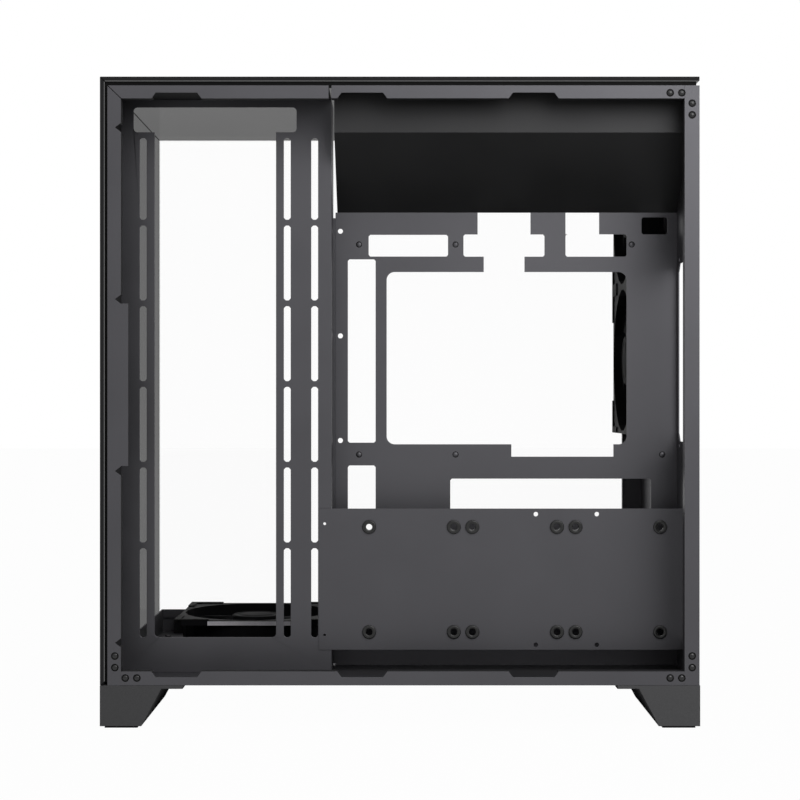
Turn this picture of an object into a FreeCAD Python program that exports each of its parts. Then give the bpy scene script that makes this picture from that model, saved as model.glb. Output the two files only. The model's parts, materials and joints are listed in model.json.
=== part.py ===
import FreeCAD, Part
import math
import os
import re
import Sketcher

# Dual-chamber computer case on a folded steel frame, in millimetres.
# X runs from the glass side (negative) to the cable side, Y from front to rear, Z up.
# The origin lies on the ground under the middle of the case.

SIZES = {
    # Overall body
    "case_width": 285,
    "case_depth": 420,
    "case_height": 456,
    "foot_height": 30,
    "gauge": 1,
    "rear_inset": 0.4,
    # Glass panels and the strips that seat them
    "glass_thick": 3,
    "front_gap": 2.3,
    "top_gap": 3.2,
    "glass_joint": 0.4,
    "gasket_inset": 2,
    "gasket_width": 9,
    # Rails round the cable side
    "front_rail_width": 9.4,
    "rear_rail_width": 10.5,
    "top_rail_height": 9.1,
    "bottom_rail_height": 9.8,
    "rail_return": 8,
    "rear_web": 6,
    "left_web": 20,
    "rail_split": 2,
    "mitre_gap": 0.6,
    "catch_height": 6.3,
    "catch_depth": 4.2,
    "catch_first": 29.8,
    "catch_pitch": 120.2,
    "catch_count": 4,
    "grip_width": 5.1,
    "grip_height": 113.7,
    "grip_base": 153.5,
    "notch_depth": 4,
    "notch_slope": 3,
    "notch_length": 29,
    "notch_one": 33.7,
    "notch_two": 9.1,
    "notch_three": 129,
    # Rivets and the gussets behind the frame corners
    "rivet_radius": 2.2,
    "rivet_head": 0.6,
    "rivet_pitch": 8.1,
    "rivet_corner": 12.5,
    "rivet_line": 5.2,
    "gusset_arm": 24,
    "gusset_play": 0.3,
    # Sheet planes, measured in from the cable side
    "bracket_depth": 53.6,
    "tray_depth": 88.9,
    "strip_depth": 25.4,
    # Fan bracket beside the front glass
    "bracket_width": 154.7,
    "frame_height": 419.8,
    "bracket_lip": 10,
    "bracket_trim": 4,
    "window_left": 25.6,
    "window_right": 114.2,
    "window_base": 26.5,
    "window_top": 395.1,
    "window_radius": 3,
    "head_left": 10.3,
    "head_right": 129.2,
    "head_height": 18.1,
    "slot_width": 5,
    "slot_clip": 0.29,
    "slot_base": 26.4,
    "slot_first": 65.1,
    "slot_bridge": 4.2,
    "slot_length": 54.7,
    "slot_pitch": 58.9,
    "slot_count": 4,
    "slot_last": 59.6,
    "slot_front": 17.3,
    "slot_rear": 122.4,
    "slot_outer": 142.4,
    # Drive panel
    "drive_base": 17.6,
    "drive_height": 102.9,
    "drive_lap": 9,
    "drive_flange": 12,
    "grommet_first": 27.5,
    "grommet_pitch": 75.25,
    "drive_wide": 61.72,
    "drive_long": 76.6,
    "grommet_base": 12.9,
    "grommet_radius": 5.5,
    "grommet_neck": 4.4,
    "grommet_hole": 2.25,
    "grommet_lip": 1.6,
    "disk_first": 149.1,
    "disk_wide": 44.45,
    "disk_long": 95.25,
    "disk_base": 3.6,
    "disk_hole": 1.65,
    "panel_hole_inset": 4,
    "panel_hole_base": 10.6,
    "panel_hole_pitch": 81.2,
    "panel_hole": 1.1,
    # Motherboard tray
    "tray_length": 259.6,
    "tray_gap": 1.6,
    "bend_drop": 79.6,
    "slope_height": 50.5,
    "slope_gap": 3,
    "tray_foot": 12,
    "tray_clip": 1.2,
    "cooler_radius": 6,
    "tray_hole": 2,
    "tray_hole_front": 241.3,
    "tray_hole_rise": 10,
    "tray_hole_pitch": 78.5,
    # Board holes, measured from the upper rear hole
    "board_rear": 13,
    "board_drop": 103.5,
    "board_column": 132.08,
    "board_front": 204.47,
    "board_offset": 22.86,
    "board_row": 157.48,
    "standoff_height": 6.5,
    "standoff_radius": 2.9,
    "standoff_thread": 1.45,
    "standoff_stud": 2.25,
    # Rear panel
    "io_width": 44.45,
    "io_height": 158.75,
    "io_rise": 3.5,
    "io_side": 4,
    "psu_width": 76,
    "psu_height": 132,
    "psu_middle": 235,
    "psu_side": 44,
    "psu_clip": 6,
    "psu_hole_wide": 64,
    "psu_hole_high": 138,
    "psu_hole": 1.8,
    "vent_pitch": 7,
    "vent_height": 3.6,
    "vent_width": 26,
    "vent_gap": 2,
    "vent_rows": 19,
    "vent_base": 26,
    "rear_flange": 15,
    "flange_side": 20,
    "grille_radius": 56,
    "grille_slot": 6.5,
    "grille_pitch": 10,
    # Expansion slots
    "card_count": 4,
    "card_pitch": 20.32,
    "card_width": 13,
    "card_length": 102,
    "card_drop": 227.2,
    "card_side": 12,
    "cover_width": 18.4,
    "cover_length": 120,
    "cover_lap": 4,
    "cover_screw": 6,
    "cover_slot": 22,
    "cover_slot_width": 4,
    "cover_slot_gap": 8,
    # Fans
    "fan_size": 120,
    "fan_depth": 25,
    "fan_flange": 4,
    "fan_corner": 6,
    "fan_bore": 58,
    "fan_wall": 1.8,
    "fan_hole_pitch": 105,
    "fan_hole": 2.2,
    "motor_radius": 21,
    "motor_depth": 5,
    "strut_width": 4,
    "hub_radius": 20,
    "hub_depth": 17.4,
    "hub_clear": 0.6,
    "shaft_end": 1.5,
    "shaft_gap": 0.5,
    "hub_edge": 1.5,
    "blade_base": 6.2,
    "blade_count": 7,
    "blade_pitch": 24,
    "blade_thick": 1.6,
    "blade_bow": 1.5,
    "tip_rise": 3.5,
    "blade_tip": 52,
    "blade_root": 17,
    "blade_chord": 17,
    "tip_chord": 31,
    "tip_sweep": 7,
    "shaft_radius": 1.5,
    "shaft_play": 0.05,
    "pad_length": 27,
    "pad_width": 5,
    "pad_proud": 1,
    "fan_drop": 7.6,
    "fan_left": 17,
    "floor_fan_front": 93,
    # Left side frame and controls
    "left_rail_height": 20,
    "left_ledge": 14,
    "left_rear_width": 18.6,
    "glass_seat": 0.3,
    "io_front": 12,
    "io_length": 92,
    "io_depth": 14,
    "io_line": 7,
    "power_radius": 4.5,
    "power_place": 12,
    "reset_radius": 2.2,
    "reset_place": 25,
    "button_travel": 1.2,
    "button_length": 9,
    "button_play": 0.3,
    "button_edge": 0.5,
    "usb_width": 13.2,
    "usb_height": 5.7,
    "usb_place": 40,
    "usb_pitch": 18,
    "usb_c_width": 9,
    "usb_c_height": 3.3,
    "usb_c_place": 73,
    "port_wall": 0.5,
    "usb_tongue": 1.6,
    "usb_c_tongue": 0.7,
    "port_depth": 11,
    "jack_radius": 3,
    "jack_bore": 1.8,
    "jack_place": 84,
    # Feet
    "foot_length": 125,
    "foot_top": 43,
    "foot_base": 29,
    "foot_ledge": 15,
    "ledge_height": 2.4,
    "foot_pad_height": 1.5,
    "foot_pad_inset": 3,
    "foot_screw_first": 35,
    "foot_screw_last": 111,
    "foot_screw_line": 15,
    # Common fasteners
    "screw_radius": 1.5,
    "screw_head": 2.8,
    "screw_head_height": 1.2,
    "screw_length": 6,
    "screw_short": 2.6,
    "fan_screw": 2,
    "fan_screw_head": 3.6,
    "fan_screw_length": 5.6,
    "hole_play": 0.2,
}

# Openings of the motherboard tray: forward of and below the upper rear board hole,
# as front edge, rear edge, lower edge and upper edge.
TRAY_OPENINGS = {
    "cable_slot": (220.1, 160.6, 9.0, -7.3),
    "upper_neck": (138.4, 98.7, -7.6, -25.0),
    "cross": (149.0, 88.2, 9.1, -7.6),
    "lower_neck": (133.8, 103.2, 20.6, 9.1),
    "rear_neck": (72.5, 47.2, -7.7, -25.0),
    "rear_slot": (72.5, 26.6, 9.1, -7.7),
    "cooler": (206.6, 26.6, 149.8, 20.6),
    "cooler_notch": (113.1, 36.5, 159.1, 149.8),
    "front_slot": (235.7, 214.9, 148.6, 11.1),
    "front_lower": (235.7, 214.9, 221.0, 165.7),
    "lower_slot": (158.9, 8.4, 207.0, 175.6),
    "corner_slot": (15.5, -4.0, -7.6, -20.4),
}
for name, edges in TRAY_OPENINGS.items():
    for edge, number in zip(("front", "rear", "low", "high"), edges):
        SIZES[f"{name}_{edge}"] = number

doc = FreeCAD.newDocument("computer_case")
vector = FreeCAD.Vector

sheet = doc.addObject("Spreadsheet::Sheet", "sizes")
for line, (alias, number) in enumerate(SIZES.items(), start=1):
    sheet.set(f"A{line}", alias)
    sheet.set(f"B{line}", str(number))
    sheet.setAlias(f"B{line}", alias)
doc.recompute()

NODES = []

# Sides of the polygons that stand for small round pieces
HEX_SIDES = 6
SMALL_SIDES = 8
MOTOR_SIDES = 16
BUTTON_SIDES = 16
FAN_SIDES = 24

# Outlines that share one sketch
SHAPES_PER_SKETCH = 4

# Slopes of a rivet head's flank and of a broken edge, in degrees
RIVET_DRAFT = 40
EDGE_DRAFT = 45


def formula(text):
    """Expression text with every size name pointed at the sheet."""
    return re.sub(r"[a-z]\w+\b(?!\s*\()", lambda word: "sizes." + word.group(0), str(text))


def value(text):
    """Present value of an expression."""
    return float(sheet.evalExpression(formula(text)))


def bind(item, name, text):
    """Tie one property of an object to the sheet."""
    item.setExpression(name, formula(text))


def new_body(label, kept=True):
    body = doc.addObject("PartDesign::Body", label)
    body.Label = label
    if kept:
        NODES.append(body)
    return body


def origin_item(body, role):
    return next(item for item in body.Origin.OriginFeatures if item.Role == role)


def new_sketch(body, name, plane, offset="0"):
    """Sketch on one of the body's own planes, moved along that plane's normal."""
    sketch = body.newObject("Sketcher::SketchObject", f"{body.Label}_{name}")
    sketch.AttachmentSupport = [(origin_item(body, plane), "")]
    sketch.MapMode = "FlatFace"
    bind(sketch, "AttachmentOffset.Base.z", offset)
    return sketch


def add_pins(sketch, pins):
    """Constraints with a value: kind, the geometry they hold, and the formula they follow."""
    made = [Sketcher.Constraint(kind, *held, value(text)) for kind, held, text in pins]
    for index, (kind, held, text) in zip(sketch.addConstraint(made), pins):
        sketch.setExpression(f"Constraints[{index}]", formula(text))


def add_outline(sketch, corners):
    """Closed straight-sided outline through corners given as pairs of formulas."""
    first = sketch.GeometryCount
    count = len(corners)
    points = [vector(value(across), value(up), 0) for across, up in corners]
    sketch.addGeometry([Part.LineSegment(points[i - 1], points[i]) for i in range(count)])
    lines = [first + i for i in range(count)]
    joins = [Sketcher.Constraint("Coincident", lines[i - 1], 2, lines[i], 1) for i in range(count)]
    sketch.addConstraint(joins)
    pins = []
    for line, (across, up) in zip(lines, corners):
        pins.append(("DistanceX", (-1, 1, line, 2), across))
        pins.append(("DistanceY", (-1, 1, line, 2), up))
    add_pins(sketch, pins)


def add_rectangle(sketch, left, right, low, high):
    add_outline(sketch, [(left, low), (right, low), (right, high), (left, high)])


def add_circle(sketch, across, up, radius):
    first = sketch.GeometryCount
    sketch.addGeometry(Part.Circle(vector(value(across), value(up), 0), vector(0, 0, 1), value(radius)))
    add_pins(sketch, [
        ("Radius", (first,), radius),
        ("DistanceX", (-1, 1, first, 3), across),
        ("DistanceY", (-1, 1, first, 3), up),
    ])


def add_ring(sketch, centres, radius, turns):
    """Outline of arcs of one radius about the centres, joined by tangent lines."""
    first = sketch.GeometryCount
    size = value(radius)
    middles = [vector(value(across), value(up), 0) for across, up in centres]
    count = len(middles)
    arcs = []
    for middle, (start, end) in zip(middles, turns):
        circle = Part.Circle(middle, vector(0, 0, 1), size)
        arcs.append(Part.ArcOfCircle(circle, math.radians(start), math.radians(end)))
    lines = [Part.LineSegment(arcs[i - 1].EndPoint, arcs[i].StartPoint) for i in range(count)]
    sketch.addGeometry(arcs + lines)
    joins = []
    pins = []
    for i, (across, up) in enumerate(centres):
        arc = first + i
        line = first + count + i
        before = first + (i - 1) % count
        joins.append(Sketcher.Constraint("Tangent", before, 2, line, 1))
        joins.append(Sketcher.Constraint("Tangent", line, 2, arc, 1))
        pins.append(("Radius", (arc,), radius))
        pins.append(("DistanceX", (-1, 1, arc, 3), across))
        pins.append(("DistanceY", (-1, 1, arc, 3), up))
    sketch.addConstraint(joins)
    add_pins(sketch, pins)


def add_rounded(sketch, left, right, low, high, radius):
    """Rectangle with round corners."""
    inner = [f"{left} + {radius}", f"{right} - {radius}", f"{low} + {radius}", f"{high} - {radius}"]
    west, east, south, north = inner
    centres = [(west, south), (east, south), (east, north), (west, north)]
    add_ring(sketch, centres, radius, [(180, 270), (270, 360), (0, 90), (90, 180)])


def add_clipped(sketch, left, right, low, high, clip):
    """Rectangle with its corners clipped at 45 degrees."""
    add_outline(sketch, [
        (f"{left} + {clip}", low),
        (f"{right} - {clip}", low),
        (right, f"{low} + {clip}"),
        (right, f"{high} - {clip}"),
        (f"{right} - {clip}", high),
        (f"{left} + {clip}", high),
        (left, f"{high} - {clip}"),
        (left, f"{low} + {clip}"),
    ])


def add_slot(sketch, across, low, high, width):
    """Upright slot with clipped ends."""
    half = f"({width}) / 2"
    add_clipped(sketch, f"{across} - {half}", f"{across} + {half}", low, high, f"slot_clip * ({width})")


def add_polygon(sketch, across, up, radius, sides):
    """Regular polygon about a centre, with flats square to the sketch axes."""
    corners = []
    for step in range(sides):
        angle = 2 * math.pi * (step + 0.5) / sides
        corners.append((f"{across} + ({radius}) * {math.cos(angle):.5f}",
                        f"{up} + ({radius}) * {math.sin(angle):.5f}"))
    add_outline(sketch, corners)


def pad(body, sketch, length, reverse=False, draft=0):
    """Pad a sketch, narrowing by a draft angle towards its far end."""
    feature = body.newObject("PartDesign::Pad", f"{sketch.Label}_pad")
    feature.Profile = sketch
    bind(feature, "Length", length)
    feature.Reversed = reverse
    feature.TaperAngle = -draft
    doc.recompute()
    return feature


def cut(body, sketch, depth=None, reverse=False):
    """Pocket right through, or to a depth behind the sketch plane (before it when reversed)."""
    before = body.Shape.Volume
    feature = body.newObject("PartDesign::Pocket", f"{sketch.Label}_cut")
    feature.Profile = sketch
    if depth is None:
        feature.Type = "ThroughAll"
        feature.SideType = "Symmetric"
    else:
        bind(feature, "Length", depth)
        feature.Reversed = reverse
    doc.recompute()
    if body.Shape.Volume >= before:
        raise ValueError(f"{feature.Label} removes nothing")
    return feature


def pierce(body, name, plane, offset, shapes, depth=None, reverse=False):
    """Cut many outlines, each given as an adding function and its values, a few to a sketch."""
    features = []
    for start in range(0, len(shapes), SHAPES_PER_SKETCH):
        sketch = new_sketch(body, f"{name}_{start}", plane, offset)
        for add_shape, *values in shapes[start:start + SHAPES_PER_SKETCH]:
            add_shape(sketch, *values)
        features.append(cut(body, sketch, depth, reverse))
    return features


def row(body, feature, axis, pitch, count):
    """Repeat a feature along one of the body's axes."""
    pattern = body.newObject("PartDesign::LinearPattern", f"{feature.Label}_row")
    pattern.Originals = [feature]
    pattern.Direction = (origin_item(body, axis), [""])
    bind(pattern, "Length", f"({pitch}) * ({count} - 1)")
    bind(pattern, "Occurrences", count)
    body.Tip = pattern
    doc.recompute()
    return pattern


# Rotations that point a piece's own +Z along a direction of the case.
POINTING = {
    "+Z": FreeCAD.Rotation(),
    "-Z": FreeCAD.Rotation(vector(1, 0, 0), 180),
    "+X": FreeCAD.Rotation(vector(0, 1, 0), 90),
    "-X": FreeCAD.Rotation(vector(0, 1, 0), -90),
    "+Y": FreeCAD.Rotation(vector(1, 0, 0), -90),
    "-Y": FreeCAD.Rotation(vector(1, 0, 0), 90),
}


def place(item, spot, pointing):
    item.Placement = FreeCAD.Placement(vector(), pointing)
    for letter, text in zip("xyz", spot):
        bind(item, f"Placement.Base.{letter}", text)


def copies(label, prototype, spots):
    """One node of like pieces, each given by its place and rotation."""
    links = []
    for number, (spot, pointing) in enumerate(spots):
        link = doc.addObject("App::Link", f"{label}_{number}")
        link.LinkedObject = prototype
        place(link, spot, pointing)
        links.append(link)
    node = doc.addObject("Part::Compound", label)
    node.Label = label
    node.Links = links
    NODES.append(node)
    doc.recompute()
    return node


# Planes of the case, as formulas
RIGHT = "(case_width / 2 - rivet_head)"
LEFT = "(-case_width / 2)"
FRONT = "(-case_depth / 2)"
REAR = "(case_depth / 2 - rear_inset)"
FLOOR = "foot_height"
FLOOR_TOP = "(foot_height + gauge)"
ROOF = "(case_height - glass_thick)"
FRAME_TOP = "(case_height - glass_thick - top_gap)"
FRAME_FRONT = "(-case_depth / 2 + glass_thick + front_gap)"
REAR_INNER = f"({REAR} - 2 * gauge)"
BRACKET = f"({RIGHT} - bracket_depth)"
TRAY = f"({RIGHT} - tray_depth)"
STRIP = f"({RIGHT} - strip_depth)"
SPLIT = f"({REAR} - tray_length)"
BEND = f"({FRAME_TOP} - bend_drop)"
BOARD_Y = f"({REAR} - board_rear)"
BOARD_Z = f"({FRAME_TOP} - board_drop)"

# The bracket's pattern follows the room that it fills, across and up
WIDE = f"(({SPLIT} - {FRAME_FRONT}) / bracket_width)"
TALL = f"(({FRAME_TOP} - {FLOOR}) / frame_height)"


def grille_shapes(across, up):
    """Upright grille slots inside a fan's circle, and the fan's four screw holes."""
    shapes = []
    half = int(value("(grille_radius - grille_slot / 2) / grille_pitch"))
    for step in range(-half, half + 1):
        reach = f"sqrt(grille_radius * grille_radius - {step * step} * grille_pitch * grille_pitch)"
        left = f"{across} + {step} * grille_pitch - grille_slot / 2"
        shapes.append((add_rectangle, left, f"{left} + grille_slot", f"{up} - {reach}", f"{up} + {reach}"))
    for side in (-1, 1):
        for end in (-1, 1):
            spot = (f"{across} + {side} * fan_hole_pitch / 2", f"{up} + {end} * fan_hole_pitch / 2")
            shapes.append((add_polygon, *spot, "fan_screw + hole_play", SMALL_SIDES))
    return shapes


def screw_holes(spots):
    """Clearance holes for the common screw."""
    return [(add_polygon, *spot, "screw_radius + hole_play", SMALL_SIDES) for spot in spots]


# Clip notches: the first lies behind the frame's front, the others behind the split
NOTCHES = {
    "notch_one": f"{FRAME_FRONT} + notch_one",
    "notch_two": f"{SPLIT} + notch_two",
    "notch_three": f"{SPLIT} + notch_three",
}


def add_notch(sketch, start, edge, rise):
    """Clip notch in a rail's edge, with sloped ends; rise is +1 for a cut upwards."""
    far = f"{start} + notch_length"
    outside = f"{edge} - {rise} * gauge"
    add_outline(sketch, [
        (f"{start} - notch_slope", outside),
        (f"{start} - notch_slope", edge),
        (start, f"{edge} + {rise} * notch_depth"),
        (far, f"{edge} + {rise} * notch_depth"),
        (f"{far} + notch_slope", edge),
        (f"{far} + notch_slope", outside),
    ])


FAN_X = f"({LEFT} + fan_left + fan_size / 2)"
UPPER_FAN_Z = f"({FRAME_TOP} - fan_drop - fan_size / 2)"
LOWER_FAN_Z = f"({FRAME_TOP} - fan_drop - 1.5 * fan_size)"
FLOOR_FAN_Y = f"({FRONT} + floor_fan_front)"
CARD_RIGHT = f"({TRAY} - gauge - card_side)"
COVER_RIGHT = f"({CARD_RIGHT} + cover_lap)"
CARD_Z = f"({BOARD_Z} - card_drop)"
COVER_SCREW_X = f"({COVER_RIGHT} - cover_length + cover_screw)"
IO_RIGHT = f"({TRAY} - gauge - io_side)"
IO_TOP = f"({BOARD_Z} + io_rise)"
PSU_X = f"({TRAY} + psu_side)"
PSU_Z = "(foot_height + psu_middle)"
FOOT_SCREWS = []
for side in (-1, 1):
    for end in (-1, 1):
        for reach in ("foot_screw_first", "foot_screw_last"):
            across = f"{side} * (case_width / 2 - {reach})"
            FOOT_SCREWS.append((across, f"{end} * (case_depth / 2 - foot_screw_line)"))


def build_floor():
    """Floor sheet with a front lip, the floor fan's grille and the foot screw holes."""
    body = new_body("floor_panel")
    sketch = new_sketch(body, "sheet", "XY_Plane", FLOOR)
    add_rectangle(sketch, f"{LEFT} + gauge", f"{RIGHT} - gauge", f"{FRAME_FRONT} + gauge", REAR_INNER)
    pad(body, sketch, "gauge")
    lip = new_sketch(body, "lip", "XY_Plane", FLOOR)
    add_rectangle(lip, f"{LEFT} + glass_thick + gauge", f"{BRACKET} - gauge",
                  FRAME_FRONT, f"{FRAME_FRONT} + gauge")
    pad(body, lip, "left_rail_height")
    shapes = grille_shapes(FAN_X, FLOOR_FAN_Y) + screw_holes(FOOT_SCREWS)
    pierce(body, "opening", "XY_Plane", FLOOR, shapes)


def build_rear_panel():
    """Rear sheet: fan grilles, board ports, card slots, power supply and vents."""
    body = new_body("rear_panel")
    outer = f"-({REAR} - gauge)"
    sketch = new_sketch(body, "sheet", "XZ_Plane", outer)
    add_rectangle(sketch, f"{LEFT} + gauge", f"{RIGHT} - gauge", FLOOR, FRAME_TOP)
    pad(body, sketch, "gauge")
    flange = new_sketch(body, "flange", "XY_Plane", FRAME_TOP)
    add_rectangle(flange, f"{LEFT} + flange_side", f"{STRIP} - 3 * gauge",
                  f"{REAR} - gauge - rear_flange", f"{REAR} - gauge")
    pad(body, flange, "gauge", reverse=True)
    shapes = grille_shapes(FAN_X, UPPER_FAN_Z) + grille_shapes(FAN_X, LOWER_FAN_Z)
    shapes.append((add_rectangle, f"{IO_RIGHT} - io_width", IO_RIGHT, f"{IO_TOP} - io_height", IO_TOP))
    shapes.append((add_clipped, f"{PSU_X} - psu_width / 2", f"{PSU_X} + psu_width / 2",
                   f"{PSU_Z} - psu_height / 2", f"{PSU_Z} + psu_height / 2", "psu_clip"))
    for side in (-1, 1):
        across = f"{PSU_X} + {side} * psu_hole_wide / 2"
        for end in (-1, 1):
            shapes.append((add_circle, across, f"{PSU_Z} + {end} * psu_hole_high / 2", "psu_hole"))
    pierce(body, "opening", "XZ_Plane", outer, shapes)
    card = new_sketch(body, "card", "XZ_Plane", outer)
    add_rectangle(card, f"{CARD_RIGHT} - card_length", CARD_RIGHT,
                  f"{CARD_Z} - card_width / 2", f"{CARD_Z} + card_width / 2")
    add_polygon(card, COVER_SCREW_X, CARD_Z, "screw_radius + hole_play", SMALL_SIDES)
    row(body, cut(body, card), "Z_Axis", "card_pitch", "card_count")
    vent = new_sketch(body, "vent", "XZ_Plane", outer)
    low = "foot_height + vent_base"
    edge = f"{BRACKET} + gauge + vent_gap"
    add_rectangle(vent, edge, f"{edge} + vent_width", low, f"{low} + vent_height")
    row(body, cut(body, vent), "Z_Axis", "vent_pitch", "vent_rows")


def tray_span(name):
    """Edges of one tray opening as front, rear, low and high formulas."""
    return (f"{BOARD_Y} - {name}_front", f"{BOARD_Y} - {name}_rear",
            f"{BOARD_Z} - {name}_low", f"{BOARD_Z} - {name}_high")


def board_spots():
    """Centres of the board holes in the tray: two on its rear arm, then four on its front arm."""
    low = f"{BOARD_Z} - board_row"
    spots = [(f"{BOARD_Y} - board_offset", BOARD_Z), (BOARD_Y, low)]
    for reach in ("board_column", "board_front"):
        across = f"{BOARD_Y} - (board_offset + {reach})"
        spots += [(across, BOARD_Z), (across, low)]
    return spots


def tray_holes():
    """Row of holes where the tray laps the fan bracket."""
    rows = [f"{BOARD_Z} + tray_hole_rise - {step} * tray_hole_pitch" for step in range(3)]
    return [(add_polygon, f"{BOARD_Y} - tray_hole_front", up, "tray_hole", SMALL_SIDES) for up in rows]


def open_tray(body, names):
    """Cut the named openings through one piece of the tray."""
    for name in names:
        opening = new_sketch(body, name, "YZ_Plane", TRAY)
        if name == "cooler":
            add_rounded(opening, *tray_span(name), "cooler_radius")
        elif name in ("lower_neck", "upper_neck", "cooler_notch", "rear_neck"):
            add_rectangle(opening, *tray_span(name))
        else:
            add_clipped(opening, *tray_span(name), "tray_clip")
        cut(body, opening, "2 * gauge")


def build_tray():
    """Motherboard tray: a footed lower wall, two arms round the cooler opening and a folded hood on them."""
    run = "(tray_depth - strip_depth)"
    turned = f"gauge * (sqrt({run} * {run} + slope_height * slope_height) - slope_height) / {run}"
    seam = f"{BOARD_Z} - front_lower_high"
    middle = f"{BOARD_Y} - cooler_notch_front"
    body = new_body("motherboard_tray")
    sketch = new_sketch(body, "fold", "XZ_Plane", f"-{REAR_INNER}")
    add_outline(sketch, [
        (f"{TRAY} - tray_foot", FLOOR_TOP),
        (TRAY, FLOOR_TOP),
        (TRAY, seam),
        (f"{TRAY} - gauge", seam),
        (f"{TRAY} - gauge", f"{FLOOR_TOP} + gauge"),
        (f"{TRAY} - tray_foot", f"{FLOOR_TOP} + gauge"),
    ])
    pad(body, sketch, f"{REAR_INNER} - {SPLIT} - tray_gap")
    open_tray(body, ["front_lower", "lower_slot"])

    holes = [(add_polygon, *spot, "standoff_stud", SMALL_SIDES) for spot in board_spots()]
    body = new_body("tray_front_arm")
    sketch = new_sketch(body, "sheet", "YZ_Plane", TRAY)
    add_rectangle(sketch, f"{SPLIT} + tray_gap", middle, seam, BEND)
    pad(body, sketch, "gauge", reverse=True)
    open_tray(body, ["front_slot", "cable_slot", "upper_neck", "cross", "lower_neck", "cooler"])
    pierce(body, "hole", "YZ_Plane", TRAY, holes[2:] + tray_holes(), "2 * gauge")

    body = new_body("tray_rear_arm")
    sketch = new_sketch(body, "sheet", "YZ_Plane", TRAY)
    add_rectangle(sketch, middle, REAR_INNER, seam, BEND)
    pad(body, sketch, "gauge", reverse=True)
    open_tray(body, ["upper_neck", "cross", "lower_neck", "cooler", "cooler_notch", "rear_neck",
                     "rear_slot", "corner_slot"])
    pierce(body, "hole", "YZ_Plane", TRAY, holes[:2], "2 * gauge")

    body = new_body("tray_hood")
    sketch = new_sketch(body, "fold", "XZ_Plane", f"-{REAR_INNER}")
    top = f"{FRAME_TOP} - gauge"
    add_outline(sketch, [
        (TRAY, BEND),
        (STRIP, f"{BEND} + slope_height"),
        (STRIP, top),
        (f"{STRIP} - gauge", top),
        (f"{STRIP} - gauge", f"{BEND} + slope_height + {turned}"),
        (f"{TRAY} - gauge", f"{BEND} + {turned}"),
        (f"{TRAY} - gauge", BEND),
    ])
    pad(body, sketch, f"{REAR_INNER} - {SPLIT} - slope_gap")


def build_bracket():
    """Fan bracket: slotted sheet with a tall window and a flange that meets the tray."""
    body = new_body("side_fan_bracket")
    front = f"{FRAME_FRONT} + gauge"
    lip = f"{SPLIT} + bracket_lip"
    sketch = new_sketch(body, "fold", "XY_Plane", FLOOR_TOP)
    add_outline(sketch, [
        (f"{BRACKET} - gauge", front),
        (BRACKET, front),
        (BRACKET, SPLIT),
        (f"{TRAY} - gauge", SPLIT),
        (f"{TRAY} - gauge", lip),
        (f"{TRAY} - 2 * gauge", lip),
        (f"{TRAY} - 2 * gauge", f"{SPLIT} - gauge"),
        (f"{BRACKET} - gauge", f"{SPLIT} - gauge"),
    ])
    pad(body, sketch, f"{FRAME_TOP} - gauge - {FLOOR_TOP}")
    trim = new_sketch(body, "trim", "YZ_Plane")
    add_rectangle(trim, SPLIT, f"{lip} + gauge", f"{BEND} - bracket_trim", f"{FRAME_TOP} + gauge")
    cut(body, trim)
    foot = new_sketch(body, "foot", "YZ_Plane")
    add_rectangle(foot, SPLIT, f"{lip} + gauge", FLOOR, f"{FLOOR_TOP} + gauge")
    cut(body, foot)
    pierce(body, "lip_hole", "YZ_Plane", f"{TRAY} - gauge", tray_holes(), "2 * gauge")
    window = new_sketch(body, "window", "YZ_Plane", BRACKET)
    high = f"{FLOOR} + window_top * {TALL}"
    peak = f"{FLOOR} + (window_top + head_height) * {TALL}"
    add_rounded(window, f"{FRAME_FRONT} + window_left * {WIDE}", f"{FRAME_FRONT} + window_right * {WIDE}",
                f"{FLOOR} + window_base * {TALL}", f"({high} + {peak}) / 2", "window_radius")
    cut(body, window, "2 * gauge")
    head = new_sketch(body, "head", "YZ_Plane", BRACKET)
    add_rounded(head, f"{FRAME_FRONT} + head_left * {WIDE}", f"{FRAME_FRONT} + head_right * {WIDE}",
                high, peak, "window_radius")
    cut(body, head, "2 * gauge")
    base = f"{FLOOR} + slot_base * {TALL}"
    middle = f"{base} + (slot_first + slot_bridge) * {TALL}"
    last = f"{middle} + slot_count * slot_pitch * {TALL}"
    columns = [f"{FRAME_FRONT} + {name} * {WIDE}" for name in ("slot_front", "slot_rear", "slot_outer")]
    ends = panel_holes()
    middles = []
    for column in columns:
        ends.append((add_slot, column, base, f"{base} + slot_first * {TALL}", "slot_width"))
        ends.append((add_slot, column, last, f"{last} + slot_last * {TALL}", "slot_width"))
        middles.append((add_slot, column, middle, f"{middle} + slot_length * {TALL}", "slot_width"))
    pierce(body, "end_slot", "YZ_Plane", BRACKET, ends, "2 * gauge")
    for slots in pierce(body, "slot", "YZ_Plane", BRACKET, middles, "2 * gauge"):
        row(body, slots, "Z_Axis", f"slot_pitch * {TALL}", "slot_count")


def panel_holes():
    """Holes where the drive panel laps the fan bracket."""
    across = f"{SPLIT} - drive_lap + panel_hole_inset"
    low = "foot_height + drive_base + panel_hole_base"
    return [(add_polygon, across, up, "panel_hole", SMALL_SIDES) for up in (low, f"{low} + panel_hole_pitch")]


def grommet_spots():
    """Centres of the drive grommets, two columns for each drive place."""
    low = "foot_height + drive_base + grommet_base"
    spots = []
    for place_number in range(3):
        for side in (0, 1):
            across = f"{SPLIT} + grommet_first + {place_number} * grommet_pitch + {side} * drive_wide"
            spots.append((across, low))
            spots.append((across, f"{low} + drive_long"))
    return spots


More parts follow.
